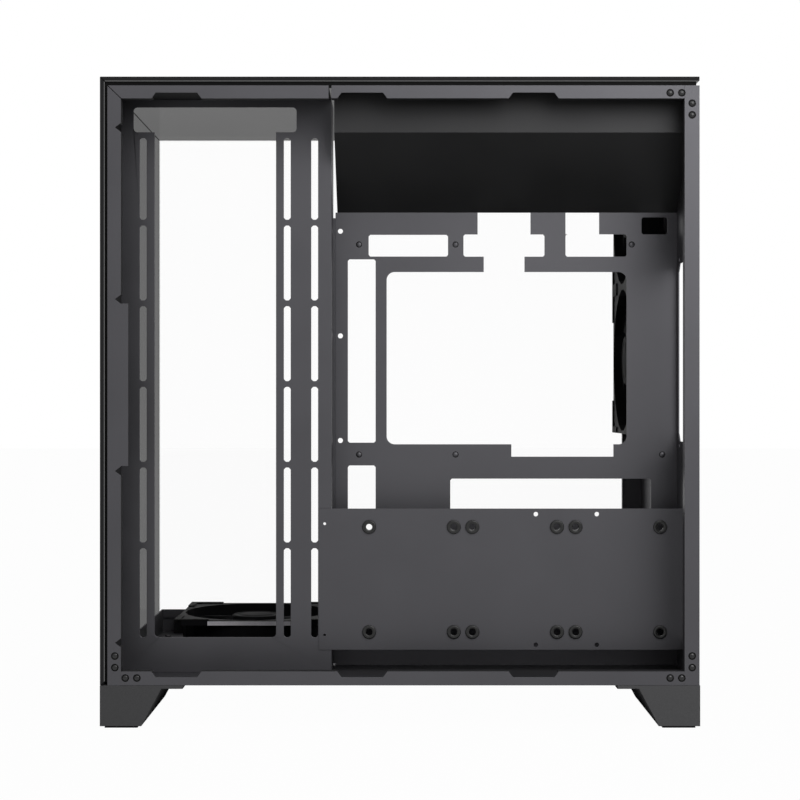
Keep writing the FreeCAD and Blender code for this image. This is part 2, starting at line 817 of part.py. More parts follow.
def build_drive_panel():
    """Drive panel: sheet with a rear flange, grommet holes and hard disk holes."""
    body = new_body("drive_panel")
    face = f"{BRACKET} + gauge"
    sketch = new_sketch(body, "fold", "XY_Plane", "foot_height + drive_base")
    add_outline(sketch, [
        (BRACKET, f"{SPLIT} - drive_lap"),
        (face, f"{SPLIT} - drive_lap"),
        (face, REAR_INNER),
        (f"{face} - drive_flange", REAR_INNER),
        (f"{face} - drive_flange", f"{REAR_INNER} - gauge"),
        (BRACKET, f"{REAR_INNER} - gauge"),
    ])
    pad(body, sketch, "drive_height")
    holes = [(add_polygon, *spot, "grommet_neck", SMALL_SIDES) for spot in grommet_spots()]
    low = "foot_height + drive_base + disk_base"
    for side in (0, 1):
        across = f"{SPLIT} + disk_first + {side} * disk_wide"
        for end in (0, 1):
            holes.append((add_circle, across, f"{low} + {end} * disk_long", "disk_hole"))
    holes += panel_holes()
    pierce(body, "hole", "YZ_Plane", face, holes, "2 * gauge")


def build_front_rail():
    """Upright front channel: mitred at the top, with catch notches and a finger grip."""
    body = new_body("front_rail")
    inner = f"{FRAME_FRONT} + front_rail_width"
    sketch = new_sketch(body, "channel", "XY_Plane", FLOOR)
    add_outline(sketch, [
        (f"{BRACKET} - gauge", FRAME_FRONT),
        (RIGHT, FRAME_FRONT),
        (RIGHT, inner),
        (f"{RIGHT} - rail_return", inner),
        (f"{RIGHT} - rail_return", f"{inner} - gauge"),
        (f"{RIGHT} - gauge", f"{inner} - gauge"),
        (f"{RIGHT} - gauge", f"{FRAME_FRONT} + gauge"),
        (f"{BRACKET} - gauge", f"{FRAME_FRONT} + gauge"),
    ])
    pad(body, sketch, f"{FRAME_TOP} - foot_height")
    grip = new_sketch(body, "grip", "YZ_Plane", RIGHT)
    low = "foot_height + grip_base"
    add_rectangle(grip, inner, f"{inner} + grip_width", low, f"{low} + grip_height")
    pad(body, grip, "gauge", reverse=True)
    mitre = new_sketch(body, "mitre", "YZ_Plane")
    add_outline(mitre, [
        (FRAME_FRONT, f"{FRAME_TOP} - mitre_gap / 2"),
        (inner, f"{FRAME_TOP} - top_rail_height - mitre_gap / 2"),
        (f"{inner} + gauge", f"{FRAME_TOP} - top_rail_height - mitre_gap / 2"),
        (f"{inner} + gauge", f"{FRAME_TOP} + gauge"),
        (FRAME_FRONT, f"{FRAME_TOP} + gauge"),
    ])
    cut(body, mitre)
    relieve(body, f"{RIGHT} - rail_return", f"{RIGHT} - gauge", f"{inner} - gauge", inner,
            FLOOR, "bottom_rail_height")
    catch = new_sketch(body, "catch", "YZ_Plane", RIGHT)
    middle = f"{FLOOR} + catch_first * {TALL}"
    add_outline(catch, [
        (f"{inner} + gauge", f"{middle} - catch_height / 2"),
        (f"{inner} + gauge", f"{middle} + catch_height / 2"),
        (inner, f"{middle} + catch_height / 2"),
        (f"{inner} - catch_depth", middle),
        (inner, f"{middle} - catch_height / 2"),
    ])
    row(body, cut(body, catch, "2 * rail_return"), "Z_Axis", f"catch_pitch * {TALL}", "catch_count")


def relieve(body, left, right, front, rear, low, height):
    """Clear a box out of a channel where another piece passes."""
    number = len(body.Group)
    sketch = new_sketch(body, f"relief_{number}", "XY_Plane", low)
    add_rectangle(sketch, left, right, front, rear)
    cut(body, sketch, height, reverse=True)


def build_top_rails():
    """Top channel of the cable side, in two pieces that meet at the fan bracket."""
    inner = f"{FRAME_TOP} - top_rail_height"
    spans = {
        "top_rail_front": (FRAME_FRONT, SPLIT, f"{BRACKET} - gauge", ["notch_one"]),
        "top_rail_rear": (f"{SPLIT} + rail_split", f"{REAR} - rear_rail_width", f"{STRIP} - gauge",
                          ["notch_two", "notch_three"]),
    }
    for label, (near, far, edge, notches) in spans.items():
        body = new_body(label)
        sketch = new_sketch(body, "channel", "XZ_Plane", f"-({far})")
        add_outline(sketch, [
            (edge, f"{FRAME_TOP} - gauge"),
            (f"{RIGHT} - gauge", f"{FRAME_TOP} - gauge"),
            (f"{RIGHT} - gauge", f"{inner} + gauge"),
            (f"{RIGHT} - rail_return", f"{inner} + gauge"),
            (f"{RIGHT} - rail_return", inner),
            (RIGHT, inner),
            (RIGHT, FRAME_TOP),
            (edge, FRAME_TOP),
        ])
        pad(body, sketch, f"{far} - ({near})")
        for name in notches:
            notch = new_sketch(body, name, "YZ_Plane")
            add_notch(notch, NOTCHES[name], inner, 1)
            cut(body, notch)
        if label == "top_rail_front":
            corner = f"{FRAME_FRONT} + front_rail_width"
            mitre = new_sketch(body, "mitre", "YZ_Plane")
            add_outline(mitre, [
                (f"{FRAME_FRONT} + mitre_gap / 2", FRAME_TOP),
                (f"{FRAME_FRONT} - gauge", FRAME_TOP),
                (f"{FRAME_FRONT} - gauge", f"{inner} - gauge"),
                (f"{corner} + mitre_gap / 2", f"{inner} - gauge"),
                (f"{corner} + mitre_gap / 2", inner),
            ])
            cut(body, mitre)


def build_bottom_rail():
    """Bottom rail of the cable side, outside the floor's edge, with three clip notches."""
    body = new_body("bottom_rail")
    near = f"{FRAME_FRONT} + front_rail_width"
    far = f"{REAR} - rear_rail_width"
    top = "foot_height + bottom_rail_height"
    sketch = new_sketch(body, "channel", "XZ_Plane", f"-({far})")
    add_outline(sketch, [
        (f"{RIGHT} - gauge", FLOOR),
        (RIGHT, FLOOR),
        (RIGHT, top),
        (f"{RIGHT} - rail_return", top),
        (f"{RIGHT} - rail_return", f"{top} - gauge"),
        (f"{RIGHT} - gauge", f"{top} - gauge"),
    ])
    pad(body, sketch, f"{far} - ({near})")
    for name, start in NOTCHES.items():
        notch = new_sketch(body, name, "YZ_Plane")
        add_notch(notch, start, top, -1)
        cut(body, notch)


def build_rear_rail():
    """Upright rear channel of the cable side."""
    body = new_body("rear_rail")
    inner = f"{REAR} - rear_rail_width"
    sketch = new_sketch(body, "channel", "XY_Plane", FLOOR)
    add_outline(sketch, [
        (f"{RIGHT} - rear_web", f"{REAR} - gauge"),
        (f"{RIGHT} - gauge", f"{REAR} - gauge"),
        (f"{RIGHT} - gauge", f"{inner} + gauge"),
        (f"{RIGHT} - rail_return", f"{inner} + gauge"),
        (f"{RIGHT} - rail_return", inner),
        (RIGHT, inner),
        (RIGHT, REAR),
        (f"{RIGHT} - rear_web", REAR),
    ])
    pad(body, sketch, f"{FRAME_TOP} - foot_height")
    box = (f"{RIGHT} - rail_return", f"{RIGHT} - gauge", inner, f"{inner} + gauge")
    relieve(body, *box, FLOOR, "bottom_rail_height")
    relieve(body, *box, f"{FRAME_TOP} - top_rail_height", "top_rail_height")


def build_left_rails():
    """Frame of the glass side: a ledge under the glass and a stepped rear post."""
    body = new_body("left_bottom_rail")
    ledge = "foot_height + left_ledge"
    step = f"{LEFT} + glass_thick"
    post = f"{REAR} - left_rear_width"
    sketch = new_sketch(body, "fold", "XZ_Plane", f"-({post})")
    add_outline(sketch, [
        (LEFT, FLOOR),
        (f"{LEFT} + gauge", FLOOR),
        (f"{LEFT} + gauge", f"{ledge} - gauge"),
        (f"{step} + gauge", f"{ledge} - gauge"),
        (f"{step} + gauge", "foot_height + left_rail_height"),
        (step, "foot_height + left_rail_height"),
        (step, ledge),
        (LEFT, ledge),
    ])
    pad(body, sketch, f"{post} - {FRAME_FRONT}")
    shapes = button_shapes() + port_shapes("hole_play")
    pierce(body, "port", "YZ_Plane", LEFT, shapes, "2 * gauge", reverse=True)

    body = new_body("left_rear_rail")
    sketch = new_sketch(body, "fold", "XY_Plane", FLOOR)
    add_outline(sketch, [
        (LEFT, REAR),
        (LEFT, post),
        (f"{step} + gauge", post),
        (f"{step} + gauge", f"{post} + gauge"),
        (f"{LEFT} + gauge", f"{post} + gauge"),
        (f"{LEFT} + gauge", f"{REAR} - gauge"),
        (f"{LEFT} + left_web", f"{REAR} - gauge"),
        (f"{LEFT} + left_web", REAR),
    ])
    pad(body, sketch, f"{FRAME_TOP} - foot_height")
    relieve(body, f"{LEFT} + gauge", f"{step} + gauge", post, f"{post} + gauge", FLOOR, "gauge")


def build_gussets():
    """Corner plates behind the riveted frame corners, one node of three plates."""
    body = new_body("corner_gussets")
    spans = {
        "lower_front": (f"{FRAME_FRONT} + gauge + gusset_play", "front_rail_width", 1,
                        f"{FLOOR_TOP} + gusset_play", "bottom_rail_height", 1),
        "lower_rear": (f"{REAR} - 2 * gauge - gusset_play", "rear_rail_width - gauge", -1,
                       f"{FLOOR_TOP} + gusset_play", "bottom_rail_height", 1),
        "upper_rear": (f"{REAR} - 2 * gauge - gusset_play", "rear_rail_width - gauge", -1,
                       f"{FRAME_TOP} - gauge - gusset_play", "top_rail_height", -1),
    }
    sketch = new_sketch(body, "plates", "YZ_Plane", f"{RIGHT} - gauge")
    for start, width, ahead, base, height, rise in spans.values():
        side = f"{start} + {ahead} * ({width} - 2 * gauge - 2 * gusset_play)"
        shelf = f"{base} + {rise} * ({height} - 2 * gauge - 2 * gusset_play)"
        reach = f"{start} + {ahead} * gusset_arm"
        top = f"{base} + {rise} * gusset_arm"
        add_outline(sketch, [
            (start, base),
            (reach, base),
            (reach, shelf),
            (side, shelf),
            (side, top),
            (start, top),
        ])
    pad(body, sketch, "gauge", reverse=True)


def build_glass():
    """Tinted front and top panes that meet in a mitre, and the clear pane of the left side."""
    body = new_body("front_glass")
    back = f"{FRONT} + glass_thick"
    sketch = new_sketch(body, "pane", "YZ_Plane", LEFT)
    add_outline(sketch, [
        (FRONT, FLOOR),
        (back, FLOOR),
        (back, f"{ROOF} - glass_joint"),
        (FRONT, "case_height - glass_joint"),
    ])
    pad(body, sketch, f"{RIGHT} - {LEFT}")

    body = new_body("top_glass")
    sketch = new_sketch(body, "pane", "YZ_Plane", LEFT)
    add_outline(sketch, [
        (f"{back} + glass_joint", ROOF),
        (REAR, ROOF),
        (REAR, "case_height"),
        (f"{FRONT} + glass_joint", "case_height"),
    ])
    pad(body, sketch, f"{RIGHT} - {LEFT}")

    body = new_body("left_glass")
    sketch = new_sketch(body, "pane", "YZ_Plane", LEFT)
    add_rectangle(sketch, f"{back} + glass_joint", f"{REAR} - left_rear_width - glass_seat",
                  "foot_height + left_ledge", f"{ROOF} - glass_joint")
    pad(body, sketch, "glass_thick")


def build_gaskets():
    """Strips that seat the front pane on the frame and floor lip, and the top pane on the frame."""
    right = f"{RIGHT} - gasket_inset"
    body = new_body("front_gasket")
    sketch = new_sketch(body, "strip", "XZ_Plane", f"-{FRAME_FRONT}")
    low = "foot_height + gasket_inset"
    high = f"{FRAME_TOP} - gasket_inset"
    left = f"{LEFT} + glass_thick + 2 * gauge"
    add_outline(sketch, [
        (left, low),
        (right, low),
        (right, high),
        (f"{right} - gasket_width", high),
        (f"{right} - gasket_width", f"{low} + gasket_width"),
        (left, f"{low} + gasket_width"),
    ])
    pad(body, sketch, "front_gap")

    body = new_body("top_gasket")
    sketch = new_sketch(body, "strip", "XY_Plane", FRAME_TOP)
    near = f"{FRAME_FRONT} + gasket_inset"
    far = f"{REAR} - gasket_inset"
    left = f"{LEFT} + flange_side"
    add_outline(sketch, [
        (right, near),
        (right, far),
        (left, far),
        (left, f"{far} - gasket_width"),
        (f"{right} - gasket_width", f"{far} - gasket_width"),
        (f"{right} - gasket_width", near),
    ])
    pad(body, sketch, "top_gap")


# Controls on the left bottom rail: where each one stands behind the rail's front end
CONTROL_Z = "(foot_height + io_line)"
IO_FRONT = f"({FRAME_FRONT} + io_front)"
USB_PLACES = ["usb_place", "usb_place + usb_pitch"]


def add_port(sketch, spot, width, height, grow):
    middle = f"{IO_FRONT} + {spot}"
    half = f"(({width}) / 2 + {grow})"
    tall = f"(({height}) / 2 + {grow})"
    add_rectangle(sketch, f"{middle} - {half}", f"{middle} + {half}",
                  f"{CONTROL_Z} - {tall}", f"{CONTROL_Z} + {tall}")


def button_shapes():
    """Holes that the two buttons slide in."""
    buttons = (("power_place", "power_radius"), ("reset_place", "reset_radius"))
    return [(add_polygon, f"{IO_FRONT} + {spot}", CONTROL_Z, f"{radius} + button_play", BUTTON_SIDES)
            for spot, radius in buttons]


def port_shapes(play):
    """Outlines of the sockets, grown by a clearance."""
    shapes = [(add_port, spot, "usb_width", "usb_height", play) for spot in USB_PLACES]
    shapes.append((add_port, "usb_c_place", "usb_c_width", "usb_c_height", play))
    shapes.append((add_polygon, f"{IO_FRONT} + jack_place", CONTROL_Z, f"jack_radius + {play}", SMALL_SIDES))
    return shapes


def build_fan_frame(label, spot, pointing):
    """Fan frame: two square flanges on a tube, and a motor plate on four struts."""
    body = new_body(label)
    half = "fan_size / 2"
    far = "fan_depth - fan_flange"
    for name, height in (("near_flange", "0"), ("far_flange", far)):
        flange = new_sketch(body, name, "XY_Plane", height)
        add_clipped(flange, f"-{half}", half, f"-{half}", half, "fan_corner")
        pad(body, flange, "fan_flange")
        if name == "near_flange":
            tube = new_sketch(body, "tube", "XY_Plane", "fan_flange")
            add_polygon(tube, "0", "0", "fan_bore + fan_wall", FAN_SIDES)
            pad(body, tube, "fan_depth - 2 * fan_flange")
    duct = new_sketch(body, "duct", "XY_Plane")
    add_polygon(duct, "0", "0", "fan_bore", FAN_SIDES)
    cut(body, duct)
    reach = "fan_bore + fan_wall / 2"
    thin = "strut_width / 2"
    for axis, box in (("along", (f"-({reach})", reach, f"-{thin}", thin)),
                      ("across", (f"-{thin}", thin, f"-({reach})", reach))):
        strut = new_sketch(body, f"strut_{axis}", "XY_Plane", "0")
        add_rectangle(strut, *box)
        pad(body, strut, "fan_flange")
    motor = new_sketch(body, "motor", "XY_Plane", "0")
    add_polygon(motor, "0", "0", "motor_radius", MOTOR_SIDES)
    pad(body, motor, "motor_depth")
    bore = new_sketch(body, "bore", "XY_Plane", "motor_depth")
    add_circle(bore, "0", "0", "shaft_radius + shaft_play")
    cut(body, bore, "motor_depth - shaft_end + shaft_gap")
    holes = []
    for side in (-1, 1):
        for end in (-1, 1):
            corner = (f"{side} * fan_hole_pitch / 2", f"{end} * fan_hole_pitch / 2")
            holes.append((add_polygon, *corner, "fan_hole", SMALL_SIDES))
    pierce(body, "hole", "XY_Plane", "0", holes)
    place(body, spot, pointing)


def add_blade(sketch):
    """Outline of one blade: it widens from its root to a bowed tip that sweeps forward."""
    half = "blade_chord / 2"
    wide = "tip_chord / 2"
    middle = "(blade_root + blade_tip) / 2"
    flank = f"(({half} + {wide}) / 2 + blade_bow)"
    add_outline(sketch, [
        (f"-{half}", "blade_root"),
        (half, "blade_root"),
        (f"tip_sweep / 2 + {flank} - 2 * blade_bow", middle),
        (f"tip_sweep + {wide}", "blade_tip"),
        ("tip_sweep / 2", "blade_tip + tip_rise"),
        (f"tip_sweep - {wide}", "blade_tip"),
        (f"tip_sweep / 2 - {flank}", middle),
    ])


def build_rotor(label, spot, pointing):
    """Fan rotor: hub on its shaft, with pitched blades round it."""
    body = new_body(label)
    base = "motor_depth + hub_clear"
    brow = f"{base} + hub_depth - hub_edge"
    shaft = new_sketch(body, "shaft", "XY_Plane", "shaft_end")
    add_circle(shaft, "0", "0", "shaft_radius")
    pad(body, shaft, f"{base} - shaft_end")
    hub = new_sketch(body, "hub", "XY_Plane", base)
    add_polygon(hub, "0", "0", "hub_radius", MOTOR_SIDES)
    pad(body, hub, "hub_depth - hub_edge")
    cap = new_sketch(body, "cap", "XY_Plane", brow)
    add_polygon(cap, "0", "0", "hub_radius", MOTOR_SIDES)
    pad(body, cap, "hub_edge", draft=EDGE_DRAFT)
    outline = new_sketch(body, "blade", "XY_Plane", f"{base} + blade_base")
    pitched = FreeCAD.Rotation(vector(0, 1, 0), -value("blade_pitch"))
    outline.AttachmentOffset = FreeCAD.Placement(outline.AttachmentOffset.Base, pitched)
    add_blade(outline)
    blade = pad(body, outline, "blade_thick")
    blades = body.newObject("PartDesign::PolarPattern", f"{label}_blades")
    blades.Originals = [blade]
    blades.Axis = (origin_item(body, "Z_Axis"), [""])
    blades.Angle = 360
    bind(blades, "Occurrences", "blade_count")
    body.Tip = blades
    doc.recompute()
    place(body, spot, pointing)


FAN_PLACES = {
    "rear_upper": ((FAN_X, f"{REAR_INNER} - pad_proud", UPPER_FAN_Z), "-Y"),
    "rear_lower": ((FAN_X, f"{REAR_INNER} - pad_proud", LOWER_FAN_Z), "-Y"),
    "bottom": ((FAN_X, FLOOR_FAN_Y, f"{FLOOR_TOP} + pad_proud"), "+Z"),
}


def build_fans():
    for name, (spot, pointing) in FAN_PLACES.items():
        build_fan_frame(f"{name}_fan_frame", spot, POINTING[pointing])
        build_rotor(f"{name}_fan_rotor", spot, POINTING[pointing])

    proto = new_body("corner_pad", kept=False)
    half = "fan_size / 2"
    near = f"{half} - pad_length"
    inside = f"{half} - pad_width"
    sketch = new_sketch(proto, "outline", "XY_Plane")
    add_outline(sketch, [
        (near, inside),
        (inside, inside),
        (inside, near),
        (half, near),
        (half, half),
        (near, half),
    ])
    pad(proto, sketch, "pad_proud")

    screw = build_screw("fan_screw_form", "fan_screw", "fan_screw_head", "fan_screw_length")
    pads = []
    screws = []
    for (x, y, z), pointing in FAN_PLACES.values():
        lengthwise = pointing == "+Z"
        for quarter in range(4):
            spin = FreeCAD.Rotation(vector(0, 0, 1), 90 * quarter)
            for face in ("-pad_proud", "fan_depth"):
                spot = (x, y, f"{z} + {face}") if lengthwise else (x, f"{y} - ({face})", z)
                pads.append((spot, POINTING[pointing].multiply(spin)))
            side = 1 if quarter in (0, 3) else -1
            end = 1 if quarter in (0, 1) else -1
            across = f"{x} + {side} * fan_hole_pitch / 2"
            shift = f"{end} * fan_hole_pitch / 2"
            if lengthwise:
                screws.append(((across, f"{y} + {shift}", f"{z} + fan_flange"), POINTING["-Z"]))
            else:
                outside = f"{y} + pad_proud + gauge"
                screws.append(((across, outside, f"{z} + {shift}"), POINTING["-Y"]))
    copies("fan_pads", proto, pads)
    copies("fan_screws", screw, screws)


def build_screw(label, radius, head, length):
    """Screw whose own origin lies under its head, pointing along the shank."""
    body = new_body(label, kept=False)
    shank = new_sketch(body, "shank", "XY_Plane")
    add_polygon(shank, "0", "0", radius, HEX_SIDES)
    pad(body, shank, length)
    cap = new_sketch(body, "head", "XY_Plane")
    add_polygon(cap, "0", "0", head, SMALL_SIDES)
    pad(body, cap, "screw_head_height", reverse=True)
    return body


def build_cards():
    """Covers over the expansion slots, inside the rear panel, one screw each."""
    proto = new_body("slot_cover", kept=False)
    sketch = new_sketch(proto, "plate", "XY_Plane")
    tall = "cover_width / 2"
    add_rectangle(sketch, "-cover_length", "0", f"-{tall}", tall)
    add_polygon(sketch, "cover_screw - cover_length", "0", "screw_radius + hole_play", SMALL_SIDES)
    slit = "cover_slot_width / 2"
    for step in range(3):
        left = f"-cover_lap - cover_slot_gap - {step} * (cover_slot + cover_slot_gap) - cover_slot"
        add_rectangle(sketch, left, f"{left} + cover_slot", f"-{slit}", slit)
    pad(proto, sketch, "gauge")
    screw = build_screw("short_screw", "screw_radius", "screw_head", "screw_short")
    covers = []
    screws = []
    for step in range(int(value("card_count"))):
        height = f"{CARD_Z} + {step} * card_pitch"
        covers.append(((COVER_RIGHT, REAR_INNER, height), POINTING["-Y"]))
        screws.append(((COVER_SCREW_X, f"{REAR_INNER} - gauge", height), POINTING["+Y"]))
    copies("pci_covers", proto, covers)
    copies("pci_screws", screw, screws)


def build_rivets():
    """Rivet heads of the three riveted frame corners, two on each arm of the gusset behind."""
    proto = new_body("rivet", kept=False)
    sketch = new_sketch(proto, "head", "XY_Plane")
    add_polygon(sketch, "0", "0", "rivet_radius", SMALL_SIDES)
    pad(proto, sketch, "rivet_head", draft=RIVET_DRAFT)
    spots = [((RIGHT, across, up), POINTING["+X"]) for across, up in rivet_spots()]
    copies("frame_rivets", proto, spots)


def rivet_spots():
    corners = [(FRAME_FRONT, 1, FLOOR, 1), (REAR, -1, FLOOR, 1), (REAR, -1, FRAME_TOP, -1)]
    spots = []
    for across, ahead, up, rise in corners:
        for reach in ("rivet_corner", "rivet_corner + rivet_pitch"):
            spots.append((f"{across} + {ahead} * rivet_line", f"{up} + {rise} * ({reach})"))
            spots.append((f"{across} + {ahead} * ({reach})", f"{up} + {rise} * rivet_line"))
    return spots


def build_grommets():
    """Rubber grommets of the drive panel: a lip on each side of the sheet and a neck through it."""
    proto = new_body("grommet", kept=False)
    back = "-gauge - grommet_lip"
    for name, low, radius, height in (("back_lip", back, "grommet_radius", "grommet_lip"),
                                      ("neck", "-gauge", "grommet_neck", "gauge"),
                                      ("front_lip", "0", "grommet_radius", "grommet_lip")):
        sketch = new_sketch(proto, name, "XY_Plane", low)
        add_polygon(sketch, "0", "0", radius, SMALL_SIDES)
        add_polygon(sketch, "0", "0", "grommet_hole", SMALL_SIDES)
        pad(proto, sketch, height)
    face = f"{BRACKET} + gauge"
    spots = [((face, across, up), POINTING["+X"]) for across, up in grommet_spots()]
    copies("drive_grommets", proto, spots)


def build_standoffs():
    """Hexagonal standoffs pressed into the tray, standing in the board's chamber."""
    proto = new_body("standoff", kept=False)
    stud = new_sketch(proto, "stud", "XY_Plane", "-gauge")
    add_polygon(stud, "0", "0", "standoff_stud", SMALL_SIDES)
    pad(proto, stud, "gauge")
    column = new_sketch(proto, "column", "XY_Plane")
    add_polygon(column, "0", "0", "standoff_radius", HEX_SIDES)
    add_circle(column, "0", "0", "standoff_thread")
    pad(proto, column, "standoff_height")
    spots = [((f"{TRAY} - gauge", across, up), POINTING["-X"]) for across, up in board_spots()]
    copies("standoffs", proto, spots)


def build_feet():
    """Four wedge feet screwed under the floor, each with a thin pad."""
    for side_name, side in (("right", 1), ("left", -1)):
        for end_name, end in (("front", -1), ("rear", 1)):
            body = new_body(f"foot_{end_name}_{side_name}")
            sketch = new_sketch(body, "profile", "YZ_Plane", f"{side} * case_width / 2")
            tip = f"{end} * case_depth / 2"
            shelf = "foot_height - ledge_height"
            add_outline(sketch, [
                (tip, "foot_pad_height"),
                (f"{tip} - {end} * foot_base", "foot_pad_height"),
                (f"{tip} - {end} * foot_top", shelf),
                (f"{tip} - {end} * (foot_top + foot_ledge)", shelf),
                (f"{tip} - {end} * (foot_top + foot_ledge)", FLOOR),
                (tip, FLOOR),
            ])
            pad(body, sketch, "foot_length", reverse=side > 0)
            holes = new_sketch(body, "holes", "XY_Plane", FLOOR)
            for across, along in FOOT_SCREWS:
                if value(across) * side > 0 and value(along) * end > 0:
                    add_polygon(holes, across, along, "screw_radius", HEX_SIDES)
            cut(body, holes, "screw_length")
    proto = new_body("foot_pad", kept=False)
    sketch = new_sketch(proto, "outline", "XY_Plane")
    length = "foot_length / 2 - foot_pad_inset"
    width = "foot_base / 2 - foot_pad_inset"
    add_rectangle(sketch, f"-({length})", length, f"-({width})", width)
    pad(proto, sketch, "foot_pad_height")
    spots = []
    for side in (-1, 1):
        for end in (-1, 1):
            across = f"{side} * (case_width - foot_length) / 2"
            along = f"{end} * (case_depth - foot_base) / 2"
            spots.append(((across, along, "0"), POINTING["+Z"]))
    copies("foot_pads", proto, spots)
    screw = build_screw("foot_screw", "screw_radius", "screw_head", "screw_length")
    spots = [((across, along, FLOOR_TOP), POINTING["-Z"]) for across, along in FOOT_SCREWS]
    copies("foot_screws", screw, spots)


def build_controls():
    """Control housing behind the left bottom rail, with its buttons and ports."""
    inside = f"{LEFT} + gauge"
    body = new_body("io_housing")
    sketch = new_sketch(body, "block", "YZ_Plane", inside)
    add_rectangle(sketch, IO_FRONT, f"{IO_FRONT} + io_length",
                  FLOOR_TOP, "foot_height + left_ledge - gauge - button_play")
    pad(body, sketch, "io_depth")
    pierce(body, "bore", "YZ_Plane", inside, button_shapes(),
           "button_length + button_travel + button_play - gauge", reverse=True)
    pierce(body, "pocket", "YZ_Plane", inside, port_shapes("0"), "port_depth - gauge", reverse=True)

    for label, spot, radius in (("power_button", "power_place", "power_radius"),
                                ("reset_button", "reset_place", "reset_radius")):
        body = new_body(label)
        for name, length, draft in (("stem", "button_length - button_edge", 0),
                                    ("tip", "button_edge", EDGE_DRAFT)):
            sketch = new_sketch(body, name, "XY_Plane", "button_edge")
            add_polygon(sketch, "0", "0", radius, BUTTON_SIDES)
            pad(body, sketch, length, reverse=draft > 0, draft=draft)
        place(body, (LEFT, f"{IO_FRONT} + {spot}", CONTROL_Z), POINTING["+X"])

    build_ports("usb_ports", USB_PLACES, "usb_width", "usb_height", "usb_tongue")
    build_ports("usb_c_port", ["usb_c_place"], "usb_c_width", "usb_c_height", "usb_c_tongue")

    body = new_body("audio_jack")
    sketch = new_sketch(body, "barrel", "YZ_Plane", LEFT)
    middle = (f"{IO_FRONT} + jack_place", CONTROL_Z)
    add_polygon(sketch, *middle, "jack_radius", SMALL_SIDES)
    pad(body, sketch, "port_depth")
    bore = new_sketch(body, "bore", "YZ_Plane", LEFT)
    add_polygon(bore, *middle, "jack_bore", SMALL_SIDES)
    cut(body, bore, "port_depth - port_wall", reverse=True)


def build_ports(label, spots, width, height, tongue):
    """Socket shells, each with a tongue on its back wall."""
    body = new_body(label)
    shell = new_sketch(body, "shell", "YZ_Plane", LEFT)
    hollow = new_sketch(body, "hollow", "YZ_Plane", LEFT)
    blade = new_sketch(body, "blade", "YZ_Plane", f"{LEFT} + port_depth - port_wall")
    for spot in spots:
        add_port(shell, spot, width, height, "0")
        add_port(hollow, spot, width, height, "-port_wall")
        add_port(blade, spot, f"{width} - 6 * port_wall", tongue, "0")
    pad(body, shell, "port_depth")
    cut(body, hollow, "port_depth - port_wall", reverse=True)
    pad(body, blade, "port_depth - 4 * port_wall", reverse=True)


def write_parts():
    """Check every object and write each sub-part to its own file."""
    doc.recompute()
    for item in doc.Objects:
        if "Invalid" in item.State or "Error" in item.State:
            raise ValueError(f"{item.Name} failed: {item.State}")
    os.makedirs("parts", exist_ok=True)
    for node in NODES:
        if node.Shape.isNull() or not node.Shape.isValid():
            raise ValueError(f"{node.Label} has no valid shape")
    for node in NODES:
        node.Shape.exportStep(f"parts/{node.Label}.step")


build_floor()
build_rear_panel()
build_tray()
build_bracket()
build_drive_panel()
build_front_rail()
build_top_rails()
build_bottom_rail()
build_rear_rail()
build_left_rails()
build_gussets()
build_glass()
build_gaskets()
build_fans()
build_cards()
build_rivets()
build_grommets()
build_standoffs()
build_feet()
build_controls()
write_parts()
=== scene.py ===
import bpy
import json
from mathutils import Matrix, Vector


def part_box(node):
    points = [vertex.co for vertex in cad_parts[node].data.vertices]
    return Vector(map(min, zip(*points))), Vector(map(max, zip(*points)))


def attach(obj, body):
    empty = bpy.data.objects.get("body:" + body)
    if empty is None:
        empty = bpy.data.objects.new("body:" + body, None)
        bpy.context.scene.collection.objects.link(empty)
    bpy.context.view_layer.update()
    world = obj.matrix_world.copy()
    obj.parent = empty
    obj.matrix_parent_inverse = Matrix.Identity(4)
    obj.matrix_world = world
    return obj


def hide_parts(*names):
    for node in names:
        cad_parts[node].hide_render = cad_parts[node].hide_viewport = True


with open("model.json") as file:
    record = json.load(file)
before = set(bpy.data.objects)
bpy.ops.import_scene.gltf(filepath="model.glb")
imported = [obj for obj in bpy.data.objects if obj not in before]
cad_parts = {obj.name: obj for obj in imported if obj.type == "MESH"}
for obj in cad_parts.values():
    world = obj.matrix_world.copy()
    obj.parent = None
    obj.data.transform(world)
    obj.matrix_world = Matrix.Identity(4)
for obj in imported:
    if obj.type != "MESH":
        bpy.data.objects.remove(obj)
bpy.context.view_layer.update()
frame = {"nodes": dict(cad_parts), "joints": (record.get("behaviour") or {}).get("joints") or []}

import json
import math

import bmesh
import bpy
import numpy as np
from bpy.props import FloatProperty, FloatVectorProperty, IntProperty, PointerProperty

bl_info = {
    "name": "Dual-chamber computer case",
    "version": (1, 0, 0),
    "blender": (4, 5, 0),
    "location": "3D View > Sidebar > Case",
    "description": "Finishes a packed computer case: coated steel, glass, fans, feet and controls",
    "category": "Object",
}

CHASSIS = "chassis"
WHITE = (1.0, 1.0, 1.0, 1.0)
WELD_REACH = 0.000001
SHARP_TURN = math.radians(38.0)
BEVEL_TURN = math.radians(30.0)


# Shader expressions


